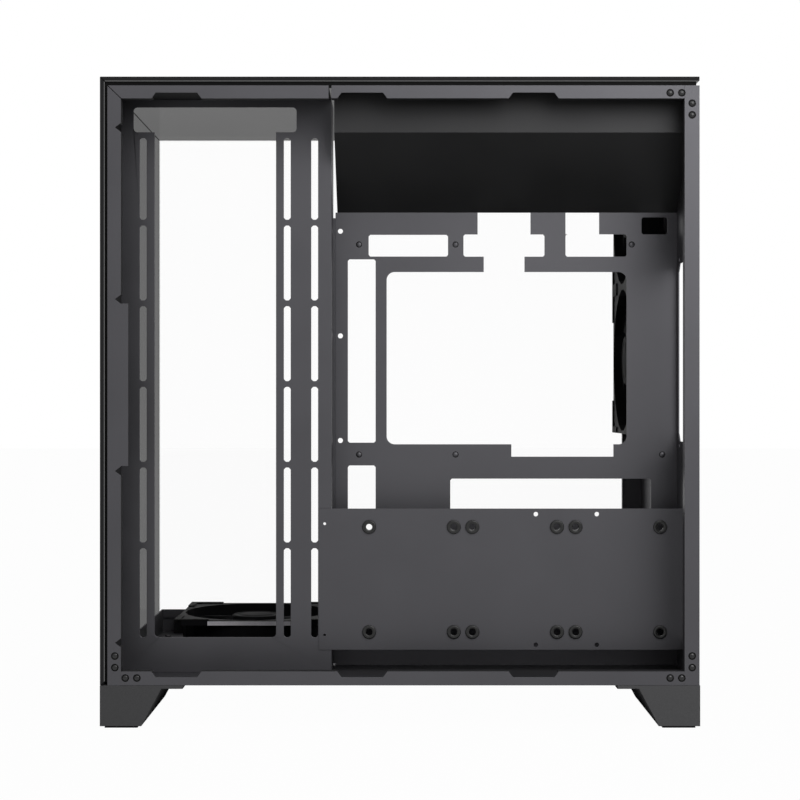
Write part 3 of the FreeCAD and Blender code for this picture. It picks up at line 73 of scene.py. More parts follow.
class Term:
    """A shader socket that can stand in a Python expression; each operator adds one Math node."""

    def __init__(self, shader, socket):
        self.shader = shader
        self.socket = socket

    def math(self, operation, *terms):
        return self.shader.add("ShaderNodeMath", {"operation": operation}, dict(enumerate(terms)))

    def __add__(self, other):
        return self.math("ADD", self, other)

    def __radd__(self, other):
        return self.math("ADD", other, self)

    def __sub__(self, other):
        return self.math("SUBTRACT", self, other)

    def __rsub__(self, other):
        return self.math("SUBTRACT", other, self)

    def __mul__(self, other):
        return self.math("MULTIPLY", self, other)

    def __rmul__(self, other):
        return self.math("MULTIPLY", other, self)

    def __pow__(self, other):
        return self.math("POWER", self, other)

    def __abs__(self):
        return self.math("ABSOLUTE", self)

    def either(self, other):
        """The larger of two terms: of two switches, either one."""
        return self.math("MAXIMUM", self, other)


class Shader:
    """A node tree that is emptied and then built up from terms."""

    def __init__(self, tree, output):
        self.tree = tree
        tree.nodes.clear()
        self.output = tree.nodes.new(output)

    def fill(self, socket, value):
        """Link a term to a socket, or write a plain value there."""
        if isinstance(value, Term):
            self.tree.links.new(value.socket, socket)
        else:
            socket.default_value = value

    def add(self, kind, settings, inputs, result=0):
        """Add a node: its settings first, then its sockets; the answer is one of its outputs."""
        node = self.tree.nodes.new(kind)
        for key, value in settings.items():
            setattr(node, key, value)
        for key, value in inputs.items():
            self.fill(node.inputs[key], value)
        return Term(self, node.outputs[result])

    def ray(self, kind):
        """Switch that is on for one kind of ray."""
        return self.add("ShaderNodeLightPath", {}, {}, kind)

    def mix(self, factor, first, second):
        """Shader that runs from the first to the second."""
        return self.add("ShaderNodeMixShader", {}, {0: factor, 1: first, 2: second})

    def show(self, shader):
        """Send a shader to the output."""
        self.fill(self.output.inputs["Surface"], shader)


class Finish(Shader):
    """The node tree of one material, with a Principled surface at its end."""

    def __init__(self, name, base, roughness, metallic=0.0, constants=None):
        self.material = bpy.data.materials.new(name)
        self.material.use_nodes = True
        self.material.diffuse_color = (*base, 1.0)
        super().__init__(self.material.node_tree, "ShaderNodeOutputMaterial")
        self.surface = self.tree.nodes.new("ShaderNodeBsdfPrincipled")
        self.show(Term(self, self.surface.outputs["BSDF"]))
        self.set("Base Color", (*base, 1.0))
        self.set("Roughness", roughness)
        self.set("Metallic", metallic)
        for socket, value in (constants or {}).items():
            self.set(socket, value)
        self.place = self.add("ShaderNodeTexCoord", {}, {}, "Object")

    def set(self, name, value):
        """Link or write one socket of the surface."""
        self.fill(self.surface.inputs[name], value)

    def stretched(self, scale):
        """Object coordinates stretched by a scale on each axis."""
        return self.add("ShaderNodeMapping", {}, {"Vector": self.place, "Scale": scale})

    def noise(self, scale, detail=2.0, roughness=0.5, vector=None):
        """Noise value about a half, at so many cells to the metre."""
        sockets = {"Vector": vector or self.place, "Scale": scale, "Detail": detail, "Roughness": roughness}
        return self.add("ShaderNodeTexNoise", {}, sockets, "Fac")

    def cells(self, scale):
        """Distance to the nearest of scattered points, for a pebbled skin."""
        return self.add("ShaderNodeTexVoronoi", {}, {"Vector": self.place, "Scale": scale}, "Distance")

    def blend(self, factor, first, second):
        """Colour that runs from the first to the second."""
        first, second = (each if isinstance(each, Term) else (*each, 1.0) for each in (first, second))
        sockets = {"Factor": factor, 6: first, 7: second}
        return self.add("ShaderNodeMix", {"data_type": "RGBA"}, sockets, 2)

    def spread(self, value, low, high, start=0.3, end=0.7):
        """Value stretched from one range to another, held at its ends."""
        sockets = {"Value": value, "From Min": start, "From Max": end, "To Min": low, "To Max": high}
        return self.add("ShaderNodeMapRange", {"clamp": True}, sockets)

    def bump(self, height, strength, distance):
        """Fine relief of the surface, no deeper than the distance."""
        sockets = {"Height": height, "Strength": strength, "Distance": distance}
        self.set("Normal", self.add("ShaderNodeBump", {}, sockets))


def tinted(colour, factor):
    """Colour made darker or lighter by a factor."""
    return tuple(min(1.0, channel * factor) for channel in colour)


def powder_coat(name, colour, inside=None, skin=0.0):
    """Baked satin powder coat with metal flake: fine orange peel, slight mottling, patches of sheen.

    Where an inside colour is given, it takes over behind the skin: a place along X just under
    the outer face. That inside colour is painted shade in the rails' folds and undersides.
    """
    fade = 0.0001
    finish = Finish(name, colour, 0.46, 0.8, {"Specular IOR Level": 0.25})
    peel = finish.noise(1500.0, 3.0, 0.6)
    speckle = finish.noise(5200.0, 1.0)
    cloud = finish.noise(14.0, 3.0)
    tone = finish.spread(cloud * 0.55 + speckle * 0.45, 0.0, 1.0, 0.35, 0.65)
    coat = finish.blend(tone, tinted(colour, 0.93), tinted(colour, 1.07))
    flake = finish.spread(speckle, 0.74, 0.86)
    sheen = finish.spread(cloud + 0.4 * peel, 0.43, 0.51, 0.5, 0.9)
    # Painted shade: behind the skin the coat turns to the inside colour, darkening the rails' folds and
    # undersides
    if inside is not None:
        across = finish.add("ShaderNodeSeparateXYZ", {}, {"Vector": finish.place}, "X")
        folded = finish.spread(across, 1.0, 0.0, skin - fade, skin + fade)
        coat = finish.blend(folded, coat, inside)
        flake = flake * (1.0 - folded)
        sheen = sheen + 0.4 * folded
    finish.set("Base Color", coat)
    finish.set("Metallic", flake)
    finish.set("Roughness", sheen)
    finish.bump(peel * 0.7 + speckle * 0.3, 0.06, 0.0002)
    return finish.material


def moulded_plastic(name, colour, roughness, grain, strength, gloss=0.1):
    """Moulded plastic with a spark-eroded skin: pebbled bump and patches of sheen."""
    finish = Finish(name, colour, roughness, constants={"Specular IOR Level": gloss})
    pebble = finish.cells(grain)
    fine = finish.noise(grain * 1.7, 2.0)
    cloud = finish.noise(30.0, 2.0)
    tone = finish.spread(fine, 0.0, 1.0)
    finish.set("Base Color", finish.blend(tone, tinted(colour, 0.85), tinted(colour, 1.15)))
    finish.set("Roughness", finish.spread(cloud, roughness - 0.06, roughness + 0.06))
    finish.bump(pebble * 0.6 + fine * 0.4, strength, 0.0002)
    return finish.material


def soft_rubber(name, colour, roughness=0.62, gloss=0.06):
    """Rubber: faintly blotched, with a very fine grain."""
    finish = Finish(name, colour, roughness, constants={"Specular IOR Level": gloss})
    bloom = finish.noise(120.0, 4.0, 0.6)
    grain = finish.noise(4200.0, 2.0)
    tone = finish.spread(bloom, 0.0, 1.0)
    finish.set("Base Color", finish.blend(tone, tinted(colour, 0.8), tinted(colour, 1.5)))
    finish.set("Roughness", finish.spread(bloom, roughness - 0.1, roughness + 0.1))
    finish.bump(grain, 0.15, 0.0001)
    return finish.material


def plated_metal(name, colour, roughness, direction):
    """Plated metal with fine drawn lines: noise stretched along one direction."""
    finish = Finish(name, colour, roughness, 1.0)
    lines = finish.noise(900.0, 3.0, 0.6, finish.stretched(direction))
    stain = finish.noise(260.0, 3.0)
    tone = finish.spread(stain, 0.0, 1.0)
    finish.set("Base Color", finish.blend(tone, tinted(colour, 0.82), tinted(colour, 1.1)))
    finish.set("Roughness", finish.spread(lines, roughness - 0.09, roughness + 0.12))
    finish.bump(lines, 0.08, 0.0001)
    return finish.material


def panel_glass(name, colour, facing, grazing, edge, thickness_axis):
    """Toughened glass: its big faces let light through and its ground edges are dark.

    The share of light stopped grows from the facing to the grazing view; the edge mask is the
    share of the normal that lies across the panel's thickness, turned round. An edge seen from
    within the glass stops less light than one seen from outside.
    """
    finish = Finish(name, colour, 0.04, constants={"Specular IOR Level": 0.0, "Coat Roughness": 0.03})
    normal = finish.add("ShaderNodeNewGeometry", {}, {}, "True Normal")
    across = finish.add("ShaderNodeSeparateXYZ", {}, {"Vector": normal}, thickness_axis)
    rim = finish.spread(abs(across), 1.0, 0.0, 0.75, 0.95)
    view = finish.add("ShaderNodeLayerWeight", {}, {"Blend": 0.5}, "Facing")
    stopped = facing + (grazing - facing) * (view ** 2.0)
    behind = finish.add("ShaderNodeNewGeometry", {}, {}, "Backfacing")
    smear = finish.noise(9.0, 4.0, 0.6)
    finish.set("Coat Weight", finish.spread(smear, 0.04, 0.07) * (1.0 - rim))
    finish.set("Base Color", finish.blend(rim, colour, edge))
    ground = 0.97 - (1.0 - 0.85 * grazing) * behind
    finish.set("Alpha", stopped * (1.0 - rim) + rim * ground)
    return finish.material


# Surfaces worked out as arrays


def solids(node):
    """Lowest and highest corners of a node's separate solids.

    The least vertex number spreads over the triangles until it settles; what shares it is one solid.
    """
    mesh = frame["nodes"][node].data
    points = np.empty(len(mesh.vertices) * 3)
    mesh.vertices.foreach_get("co", points)
    points = points.reshape(-1, 3)
    corners = np.empty(len(mesh.loops), int)
    mesh.loops.foreach_get("vertex_index", corners)
    places, welded = np.unique(np.round(points, 5), axis=0, return_inverse=True)
    triangles = welded.reshape(-1)[corners].reshape(-1, 3)
    label = np.arange(len(places))
    settled = False
    while not settled:
        spread = label.copy()
        np.minimum.at(spread, triangles, label[triangles].min(axis=1)[:, None])
        settled = bool((spread == label).all())
        label = spread
    groups = [places[label == number] for number in np.unique(label)]
    return np.array([(group.min(axis=0), group.max(axis=0)) for group in groups])


def square_to(axis):
    """Two directions square to an axis and to each other."""
    axis = np.asarray(axis, float)
    side = np.roll(axis, 1)
    return side, np.cross(axis, side)


def revolved(centres, axis, radii, heights, steps):
    """Profile turned round an axis at each centre.

    A point is the centre, plus its height along the axis, plus its radius times the cosine and
    sine of the turn along two directions square to the axis. Heights may differ round the turn.
    """
    axis = np.asarray(axis, float)
    side, up = square_to(axis)
    angle = np.linspace(0.0, 2.0 * np.pi, steps, endpoint=False)
    ring = np.cos(angle)[:, None] * side + np.sin(angle)[:, None] * up
    rows = len(radii)
    heights = np.broadcast_to(np.asarray(heights, float).reshape(rows, -1), (rows, steps))
    grid = np.asarray(radii, float)[:, None, None] * ring + heights[..., None] * axis
    return np.asarray(centres, float)[:, None, None, :] + grid


def carried(section, start, end):
    """Section in Y and Z carried along X from start to end, and drawn in to its middle at both."""
    section = np.asarray(section, float)
    share = np.array([0.0, 1.0, 1.0, 0.0])[:, None, None]
    middle = section.mean(axis=0)
    flat = middle + share * (section - middle)
    along = np.broadcast_to(np.array([start, start, end, end])[:, None, None], (4, len(section), 1))
    return np.concatenate([along, flat], axis=2)[None]


def mitre_bead(front, top):
    """Bead in the joint of two mitred panels: the slanted strip between their bevels, along X."""
    (start, face, _), (end, back, high) = front
    (_, lead, under), (_, _, crest) = top
    gap = crest - high
    return carried([(face, high), (back, under - gap), (back + gap, under), (lead, crest)], start, end)


def corner_seal(front, top, start):
    """Seal that joins two panels' gaskets round the frame's corner: an L-shaped section along X."""
    (_, face, _), (end, back, high) = front
    (_, lead, under), (_, _, crest) = top
    section = [(face, high), (back, high), (back, under), (lead, under), (lead, crest), (face, crest)]
    return carried(section, start, end)


def flange_highlight_strip(frame_box, length, low, high, proud):
    """Strip along the cable-side edge of a fan's upper flange: an oblong section along X. It carries a
    painted highlight: the lit side of the flange.

    Low and high are how far its two long edges lie under the flange's top.
    """
    (_, front, _), (side, rear, top) = frame_box
    middle = (front + rear) / 2
    near, far = middle - length / 2, middle + length / 2
    under, over = top - low, top - high
    return carried([(near, under), (far, under), (far, over), (near, over)], side, side + proud)


def domes(centres, radius, rise, steps):
    """Domes turned about X.

    The profile runs from the middle of the underside out to the rim and up over a cap: the height
    falls from the crown with the square of the radius.
    """
    rim = 0.05
    share = np.linspace(1.0, 0.0, 10)
    radii = np.concatenate([[0.0], share])
    heights = np.concatenate([[0.0], rim + (1.0 - rim) * (1.0 - share ** 2)])
    return revolved(centres, (1, 0, 0), radius * radii, rise * heights, steps)


def shadow_rings(centres, inner, outer, rise, steps):
    """Thin rings about X, with a bevelled outer edge; made black, they are painted contact shadows.

    The profile is a closed loop: out along the underside, up and in over the bevel, in along the
    face and down the hole.
    """
    radii = np.array([inner, outer, outer - rise, inner, inner])
    heights = np.array([0.0, 0.0, rise, rise, 0.0])
    return revolved(centres, (1, 0, 0), radii, heights, steps)


def grommet_rings(boxes, hole, neck, sheet, steps):
    """Rubber rings about X: a rounded lip on each side of the sheet and a neck through it.

    The profile is a closed loop: up the hole's wall, over a half round for the front lip, down
    the neck, and over a half round for the back lip.
    """
    radius = (boxes[:, 1, 1] - boxes[:, 0, 1]).max() / 2
    depth = (boxes[:, 1, 0] - boxes[:, 0, 0]).max()
    lip = (depth - sheet) / 2
    centres = boxes.mean(axis=1)
    half = np.linspace(np.pi / 2, -np.pi / 2, 9)
    middle = radius - lip / 2
    edge = middle + lip / 2 * np.cos(half)
    front = depth / 2 - lip / 2 + lip / 2 * np.sin(half)
    flare = np.array([0.0, 0.0002, 0.0006])
    sink = np.array([0.0007, 0.0002, 0.0])
    mouth = hole + flare
    slope = depth / 2 - sink
    groove = sheet / 2
    radii = np.concatenate([mouth, edge, [neck, neck], edge[::-1], mouth[::-1], mouth[:1]])
    heights = np.concatenate([slope, front, [groove, -groove], -front[::-1], -slope[::-1], slope[:1]])
    return revolved(centres, (1, 0, 0), radii, heights, steps)


def screw_heads(boxes, out, shank, head_rise, steps):
    """Screws with a domed head and a cross recess; out is the way that the head faces.

    The top falls from its crest with the square of the radius, and sinks by the recess where the
    distance from either arm's middle line is under the arm's half width, within the cross's reach.
    Widths and reaches are shares of the head's radius, the fall and the recess of its height.
    """
    arm_half = 0.17
    arm_slope = 0.06
    cross_reach = 0.6
    cross_slope = 0.1
    crest_fall = 0.28
    recess = 0.62
    tip_share = 0.7
    tip_length = 0.0004
    out = np.asarray(out, float)
    along = int(np.abs(out).argmax())
    across = (along + 1) % 3
    radius = (boxes[:, 1, across] - boxes[:, 0, across]).max() / 2
    reach = (boxes[:, 1, along] - boxes[:, 0, along]).max() - head_rise
    centres = boxes.mean(axis=1)
    outer = 1 if out[along] > 0 else 0
    centres[:, along] = boxes[:, outer, along] - head_rise * out[along]
    inward = np.linspace(0.9, 0.0, 14)
    stem = np.array([0.0, tip_share * shank, shank, shank])
    radii = np.concatenate([stem, radius * np.array([1.0, 1.0, 0.97]), radius * inward])
    angle = np.linspace(0.0, 2.0 * np.pi, steps, endpoint=False)[None, :]
    share = inward[:, None]
    arm = np.minimum(np.abs(share * np.cos(angle)), np.abs(share * np.sin(angle)))
    within = np.clip((cross_reach - share) / cross_slope, 0.0, 1.0)
    sunk = np.clip((arm_half - arm) / arm_slope, 0.0, 1.0) * within
    top = head_rise * (1.0 - crest_fall * share ** 2 - recess * sunk)
    brow = head_rise * np.array([0.0, 0.5, 0.68])
    flank = np.concatenate([[-reach, -reach, tip_length - reach, 0.0], brow])
    heights = np.concatenate([np.repeat(flank[:, None], steps, axis=1), top])
    return revolved(centres, out, radii, heights, steps)


def rotor_hub(centre, axis, radius, base, top, shaft, steps):
    """Rotor hub on its shaft: a cup with a rounded brow and a shallow ring pressed into its face.

    The profile runs from the shaft's end up to the hub's base, out to its wall, over a quarter
    round for the brow and in across the face, which drops by the ring's depth on its way.
    """
    round_off = 0.0016
    ring_depth = 0.0003
    brow = np.linspace(0.0, np.pi / 2, 7)
    face = radius * np.array([0.80, 0.78, 0.72, 0.70, 0.35, 0.0])
    dip = ring_depth * np.array([0.0, 1.0, 1.0, 0.0, 0.0, 0.0])
    radii = np.concatenate([[0.0, shaft, shaft, radius], radius - round_off * (1.0 - np.cos(brow)), face])
    wall = top - round_off * (1.0 - np.sin(brow))
    heights = np.concatenate([[0.0, 0.0, base, base], wall, top - dip])
    return revolved([centre], axis, radii, heights, steps)


def rotor_blades(centre, axis, count, inner, outer, low, high, thick):
    """Fan blades: a cambered section carried out along the radius and repeated round the axis.

    Going once round the section, the cosine of the turn places a point between the trailing and
    the leading edge and its sine above or below the middle surface, by half the thickness. The middle
    line sweeps forward with the radius to the power of one and a half; the surface climbs along the
    chord, less towards the tip, and bows by the camber. The thickness falls to nothing at both ends.
    Arcs are in radians; the climb and the camber are shares of the blade's height.
    """
    root_arc, tip_gain, belly = 0.30, 0.05, 0.04
    root_climb, climb_loss = 0.78, 0.22
    bow, sweep = 0.12, 0.32
    axis = np.asarray(axis, float)
    side, up = square_to(axis)
    span = np.linspace(0.0, 1.0, 18)[:, None]
    turn = np.linspace(0.0, 2.0 * np.pi, 28, endpoint=False)[None, :]
    along = np.cos(turn)
    face = np.sin(turn)
    radius = inner + (outer - inner) * span
    half_arc = root_arc + tip_gain * span + belly * np.sin(np.pi * span)
    ends = np.where((span <= 0.0) | (span >= 1.0), 0.0, 1.0)
    climb = (high - low) / 2 * (root_climb - climb_loss * span)
    camber = bow * (high - low)
    height = (low + high) / 2 + climb * along + camber * (0.5 - along ** 2) + ends * thick / 2 * face
    middle = sweep * span ** 1.5
    angle = middle + half_arc * along
    angle = angle[None] + 2.0 * np.pi / count * np.arange(count)[:, None, None]
    ring = np.cos(angle)[..., None] * side + np.sin(angle)[..., None] * up
    return np.asarray(centre, float) + radius[None, ..., None] * ring + height[None, ..., None] * axis


def put_mesh(name, grids, material, body, replaced):
    """One piece from like grids of points: every cell is a face, and the columns join up."""
    vertices = np.concatenate([grid.reshape(-1, 3) for grid in grids])
    faces = []
    start = 0
    for grid in grids:
        count, rows, columns, _ = grid.shape
        index = start + np.arange(count * rows * columns).reshape(count, rows, columns)
        ahead = np.roll(index, -1, axis=2)
        cells = np.stack([index[:, :-1], ahead[:, :-1], ahead[:, 1:], index[:, 1:]], axis=-1)
        faces.append(cells.reshape(-1, 4))
        start += count * rows * columns
    mesh = bpy.data.meshes.new(name)
    mesh.from_pydata(vertices.tolist(), [], np.concatenate(faces).tolist())
    work = bmesh.new()
    work.from_mesh(mesh)
    bmesh.ops.remove_doubles(work, verts=work.verts, dist=WELD_REACH)
    bmesh.ops.recalc_face_normals(work, faces=work.faces)
    work.to_mesh(mesh)
    work.free()
    mesh.shade_smooth()
    mesh.set_sharp_from_angle(angle=SHARP_TURN)
    mesh.materials.append(material)
    piece = bpy.data.objects.new(name, mesh)
    bpy.context.scene.collection.objects.link(piece)
    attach(piece, body)
    if replaced:
        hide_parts(replaced)


def dress(material, *nodes):
    """Give CAD nodes a material."""
    for node in nodes:
        mesh = frame["nodes"][node].data
        mesh.materials.clear()
        mesh.materials.append(material)


def round_edges(width, *nodes):
    """Fine rounding along the sharp edges of CAD nodes, so that they catch the light."""
    for node in nodes:
        piece = frame["nodes"][node]
        weld = piece.modifiers.new("weld", "WELD")
        weld.merge_threshold = 10.0 * WELD_REACH
        bevel = piece.modifiers.new("edge", "BEVEL")
        bevel.width = width
        bevel.segments = 2
        bevel.limit_method = "ANGLE"
        bevel.angle_limit = BEVEL_TURN
        bevel.harden_normals = True


# Sizes and colours that a user would change


class CaseSizes(bpy.types.PropertyGroup):
    """Sizes of the small pieces and of the rounded edges."""

    sheet_edge: FloatProperty(name="Sheet edge", description="Rounding along cut steel edges",
                              default=0.0002, unit="LENGTH", precision=5)
    # Depth of the lit outer face; behind it the rails carry painted shade
    rail_skin: FloatProperty(name="Rail skin", description="Depth behind which a rail's folds are dark",
                             default=0.0003, unit="LENGTH", precision=5)
    moulded_edge: FloatProperty(name="Moulded edge", description="Rounding along plastic edges",
                                default=0.0005, unit="LENGTH", precision=5)
    glass_edge: FloatProperty(name="Glass edge", description="Ground chamfer along the glass",
                              default=0.0004, unit="LENGTH", precision=5)
    blade_count: IntProperty(name="Blades", description="Blades on each fan rotor",
                             default=7, min=3, max=13)
    blade_thick: FloatProperty(name="Blade thickness", description="Greatest thickness of a blade",
                               default=0.0017, unit="LENGTH", precision=5)
    blade_root: FloatProperty(name="Blade root", description="Blade's start, as a share of the hub's radius",
                              default=0.85, min=0.0, max=1.0)
    blade_low: FloatProperty(name="Blade foot", description="Lowest blade edge above the hub's base",
                             default=0.0016, unit="LENGTH", precision=5)
    blade_high: FloatProperty(name="Blade crest", description="Highest blade edge under the hub's face",
                              default=0.0012, unit="LENGTH", precision=5)
    # Sizes of the strip that carries a painted highlight along the floor fan's flange
    strip_length: FloatProperty(name="Edge strip", description="Pale strip along the floor fan's edge",
                                default=0.0676, unit="LENGTH", precision=5)
    strip_low: FloatProperty(name="Strip foot", description="Strip's lower edge under the fan's top",
                             default=0.0039, unit="LENGTH", precision=5)
    strip_high: FloatProperty(name="Strip crest", description="Strip's upper edge under the fan's top",
                              default=0.0006, unit="LENGTH", precision=5)
    strip_proud: FloatProperty(name="Strip relief", description="Strip's height over the fan's side",
                               default=0.0002, unit="LENGTH", precision=5)
    hub_radius: FloatProperty(name="Hub radius", description="Radius of a fan rotor's hub",
                              default=0.020, unit="LENGTH", precision=5)
    rotor_radius: FloatProperty(name="Rotor radius", description="Radius at the blade tips",
                                default=0.0556, unit="LENGTH", precision=5)
    shaft_radius: FloatProperty(name="Shaft radius", description="Radius of a rotor's shaft",
                                default=0.0015, unit="LENGTH", precision=5)
    shaft_length: FloatProperty(name="Shaft length", description="Shaft below the hub",
                                default=0.0041, unit="LENGTH", precision=5)
    screw_head: FloatProperty(name="Screw head", description="Height of a screw head",
                              default=0.0012, unit="LENGTH", precision=5)
    screw_shank: FloatProperty(name="Screw shank", description="Radius of a slot or foot screw's shank",
                               default=0.0015, unit="LENGTH", precision=5)
    fan_shank: FloatProperty(name="Fan screw shank", description="Radius of a fan screw's shank",
                             default=0.002, unit="LENGTH", precision=5)
    rivet_head: FloatProperty(name="Rivet head", description="Radius of a rivet's dome",
                              default=0.0018, unit="LENGTH", precision=5)
    # Painted shadow: the dark ring round a rivet stands in for its contact shadow
    rivet_shadow: FloatProperty(name="Rivet seat", description="Radius of the dark washer round a rivet",
                              default=0.0027, unit="LENGTH", precision=5)
    stud_head: FloatProperty(name="Stud head", description="Radius of a stud, a standoff's domed end",
                             default=0.0018, unit="LENGTH", precision=5)
    # Painted shadow: the dark ring round a stud stands in for its contact shadow
    stud_shadow: FloatProperty(name="Stud seat", description="Radius of the dark washer round a stud",
                             default=0.0023, unit="LENGTH", precision=5)
    # Painted shadow: hole and thickness of the dark contact-shadow rings
    shadow_lap: FloatProperty(name="Washer lap", description="Washer's hole, as a share of its dome",
                              default=0.97, min=0.0, max=1.0)
    shadow_rise: FloatProperty(name="Washer rise", description="Thickness of the dark washers",
                               default=0.0001, unit="LENGTH", precision=5)
    grommet_hole: FloatProperty(name="Grommet hole", description="Radius of a grommet's hole",
                                default=0.00225, unit="LENGTH", precision=5)
    grommet_neck: FloatProperty(name="Grommet neck", description="Radius of a grommet's neck in the sheet",
                                default=0.0044, unit="LENGTH", precision=5)
    grommet_sheet: FloatProperty(name="Grommet groove", description="Sheet thickness in a grommet's groove",
                                 default=0.001, unit="LENGTH", precision=5)
    turn_steps: IntProperty(name="Turn steps", description="Steps round a turned piece", default=48, min=12)


class CaseColours(bpy.types.PropertyGroup):
    """Base colours of the finishes, and how much light the glass stops."""

    steel: FloatVectorProperty(name="Coated steel", description="Powder coat of the sheet steel",
                               subtype="COLOR", default=(0.083, 0.082, 0.089))
    # Painted shade: this colour darkens the rails' inner folds and undersides, where shade falls
    fold_shade: FloatVectorProperty(name="Rail folds", description="Thin coat inside the rails' folds",
                              subtype="COLOR", default=(0.012, 0.012, 0.013))
    # Painted shade: the hood's darker colour stands in for the shade under the top rail
    hood: FloatVectorProperty(name="Hood", description="Darker coat of the folded hood over the tray",
                              subtype="COLOR", default=(0.035, 0.035, 0.036))
    glass: FloatVectorProperty(name="Tinted glass", description="Body colour of the front and top glass",
                               subtype="COLOR", default=(0.012, 0.012, 0.013))
    glass_rim: FloatVectorProperty(name="Tinted glass edge", description="Ground edge of the tinted glass",
                                   subtype="COLOR", default=(0.014, 0.014, 0.015))
    clear: FloatVectorProperty(name="Clear glass", description="Body colour of the left glass",
                               subtype="COLOR", default=(0.8, 0.82, 0.82))
    clear_rim: FloatVectorProperty(name="Clear glass edge", description="Ground edge of the clear glass",
                                   subtype="COLOR", default=(0.25, 0.3, 0.29))
    glass_facing: FloatProperty(name="Tint, facing", description="Light that tinted glass stops, face on",
                                default=0.3, min=0.0, max=1.0)
    glass_grazing: FloatProperty(name="Tint, grazing", description="Light that tinted glass stops, edge on",
                                 default=0.76, min=0.0, max=1.0)
    clear_facing: FloatProperty(name="Clear, facing", description="Light that clear glass stops, face on",
                                default=0.015, min=0.0, max=1.0)
    clear_grazing: FloatProperty(name="Clear, grazing", description="Light that clear glass stops, edge on",
                                 default=0.3, min=0.0, max=1.0)
    fan: FloatVectorProperty(name="Fan frame", description="Plastic of the fan frames",
                             subtype="COLOR", default=(0.010, 0.010, 0.011))
    # Painted highlight: this pale colour stands in for light on the floor fan's flange side
    strip: FloatVectorProperty(name="Edge strip", description="Pale plastic strip on the floor fan",
                               subtype="COLOR", default=(0.78, 0.76, 0.80))
    rotor: FloatVectorProperty(name="Fan rotor", description="Plastic of the fan rotors",
                               subtype="COLOR", default=(0.013, 0.013, 0.014))
    # This rubber colour also paints the dark rings round rivets and studs, which are painted contact shadows
    rubber: FloatVectorProperty(name="Rubber", description="Pads, grommets, gaskets and washers",
                                subtype="COLOR", default=(0.006, 0.006, 0.006))
    foot: FloatVectorProperty(name="Foot plastic", description="Moulded feet",
                              subtype="COLOR", default=(0.106, 0.106, 0.109))
    control: FloatVectorProperty(name="Control plastic", description="Control housing and audio socket",
                                 subtype="COLOR", default=(0.016, 0.016, 0.017))
    button: FloatVectorProperty(name="Button plastic", description="Power and reset buttons",
                                subtype="COLOR", default=(0.045, 0.045, 0.048))
    fastener: FloatVectorProperty(name="Fasteners", description="Blackened screws",
                                  subtype="COLOR", default=(0.05, 0.05, 0.053))
    enamel: FloatVectorProperty(name="Rivet enamel", description="Glossy black of the rivet heads",
                                subtype="COLOR", default=(0.012, 0.012, 0.013))
    standoff: FloatVectorProperty(name="Standoffs", description="Plated standoffs",
                                  subtype="COLOR", default=(0.10, 0.098, 0.10))
    shell: FloatVectorProperty(name="Port shells", description="Bright plated port shells",
                               subtype="COLOR", default=(0.56, 0.56, 0.57))


class CaseStage(bpy.types.PropertyGroup):
    """The view and the light round the case."""

    distance: FloatProperty(name="Camera distance", description="Camera's place along X",
                            default=1.3755, unit="LENGTH")
    height: FloatProperty(name="Camera height", description="Camera's place along Z",
                          default=0.2297, unit="LENGTH")
    lens: FloatProperty(name="Lens", description="Focal length in millimetres", default=79.36)
    key_power: FloatProperty(name="Key light", description="Power of the light at the viewer's right",
                             default=7.5, subtype="POWER")
    key_size: FloatProperty(name="Key size", description="Width of the key light",
                            default=0.8, unit="LENGTH")
    key_place: FloatVectorProperty(name="Key place", description="Middle of the key light",
                                   subtype="XYZ", unit="LENGTH", default=(0.85, 0.5, 0.76))
    key_target: FloatVectorProperty(name="Key target", description="Point that the key light faces",
                                    subtype="XYZ", unit="LENGTH", default=(0.1, 0.1, 0.3))
    fill_power: FloatProperty(name="Fill light", description="Power of the wide light over the viewer",
                              default=4.0, subtype="POWER")
    fill_size: FloatProperty(name="Fill size", description="Width of the fill light",
                             default=1.2, unit="LENGTH")
    fill_place: FloatVectorProperty(name="Fill place", description="Middle of the fill light",
                                    subtype="XYZ", unit="LENGTH", default=(1.3, -0.1, 1.35))
    fill_target: FloatVectorProperty(name="Fill target", description="Point that the fill light faces",
                                     subtype="XYZ", unit="LENGTH", default=(0.1, 0.0, 0.35))
    ambient: FloatProperty(name="Ambient", description="Strength of the even light all round", default=0.06)
    gloss: FloatProperty(name="Gloss", description="Share of the white surroundings seen in gloss",
                         default=0.8, min=0.0, max=1.0)
    floor_size: FloatProperty(name="Floor", description="Width of the floor", default=14.0, unit="LENGTH")
    floor_drop: FloatProperty(name="Floor drop", description="Gap between the feet and the floor",
                              default=0.0002, unit="LENGTH", precision=5)
    floor_tone: FloatProperty(name="Floor tone", description="Grey of the floor under the light",
                              default=0.5, min=0.0, max=1.0)
    floor_even: FloatProperty(name="Floor white", description="Share of even white seen on the floor",
                              default=0.98, min=0.0, max=1.0)


# Operators, one for each group of pieces


class CASE_OT_sheet_steel(bpy.types.Operator):
    """Coat the folded sheet steel and soften its cut edges"""

    bl_idname = "case.sheet_steel"
    bl_label = "Sheet steel"

    def execute(self, context):
        sizes = context.scene.case_sizes
        colours = context.scene.case_colours
        rails = ("front_rail", "top_rail_front", "top_rail_rear", "bottom_rail", "rear_rail",
                 "left_bottom_rail", "left_rear_rail")
        sheets = ("floor_panel", "rear_panel", "side_fan_bracket", "corner_gussets", "pci_covers")
        tray = ("motherboard_tray", "tray_front_arm", "tray_rear_arm", "drive_panel")
        dress(powder_coat("coated_steel", colours.steel), *rails, *sheets, *tray)
        # Painted shade: the front, top and bottom rails get a dark colour in their folds and undersides
        folded = [rail for rail in rails if rail.startswith(("front", "top", "bottom"))]
        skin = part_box("front_rail")[1][0] - sizes.rail_skin
        dress(powder_coat("rail_fold_painted_shade", colours.steel, colours.fold_shade, skin), *folded)
        # Painted shade: the hood gets a darker coat for the shade under the top rail
        dress(powder_coat("hood_painted_shade", colours.hood), "tray_hood")
        round_edges(sizes.sheet_edge, *rails, *sheets)
        return {"FINISHED"}


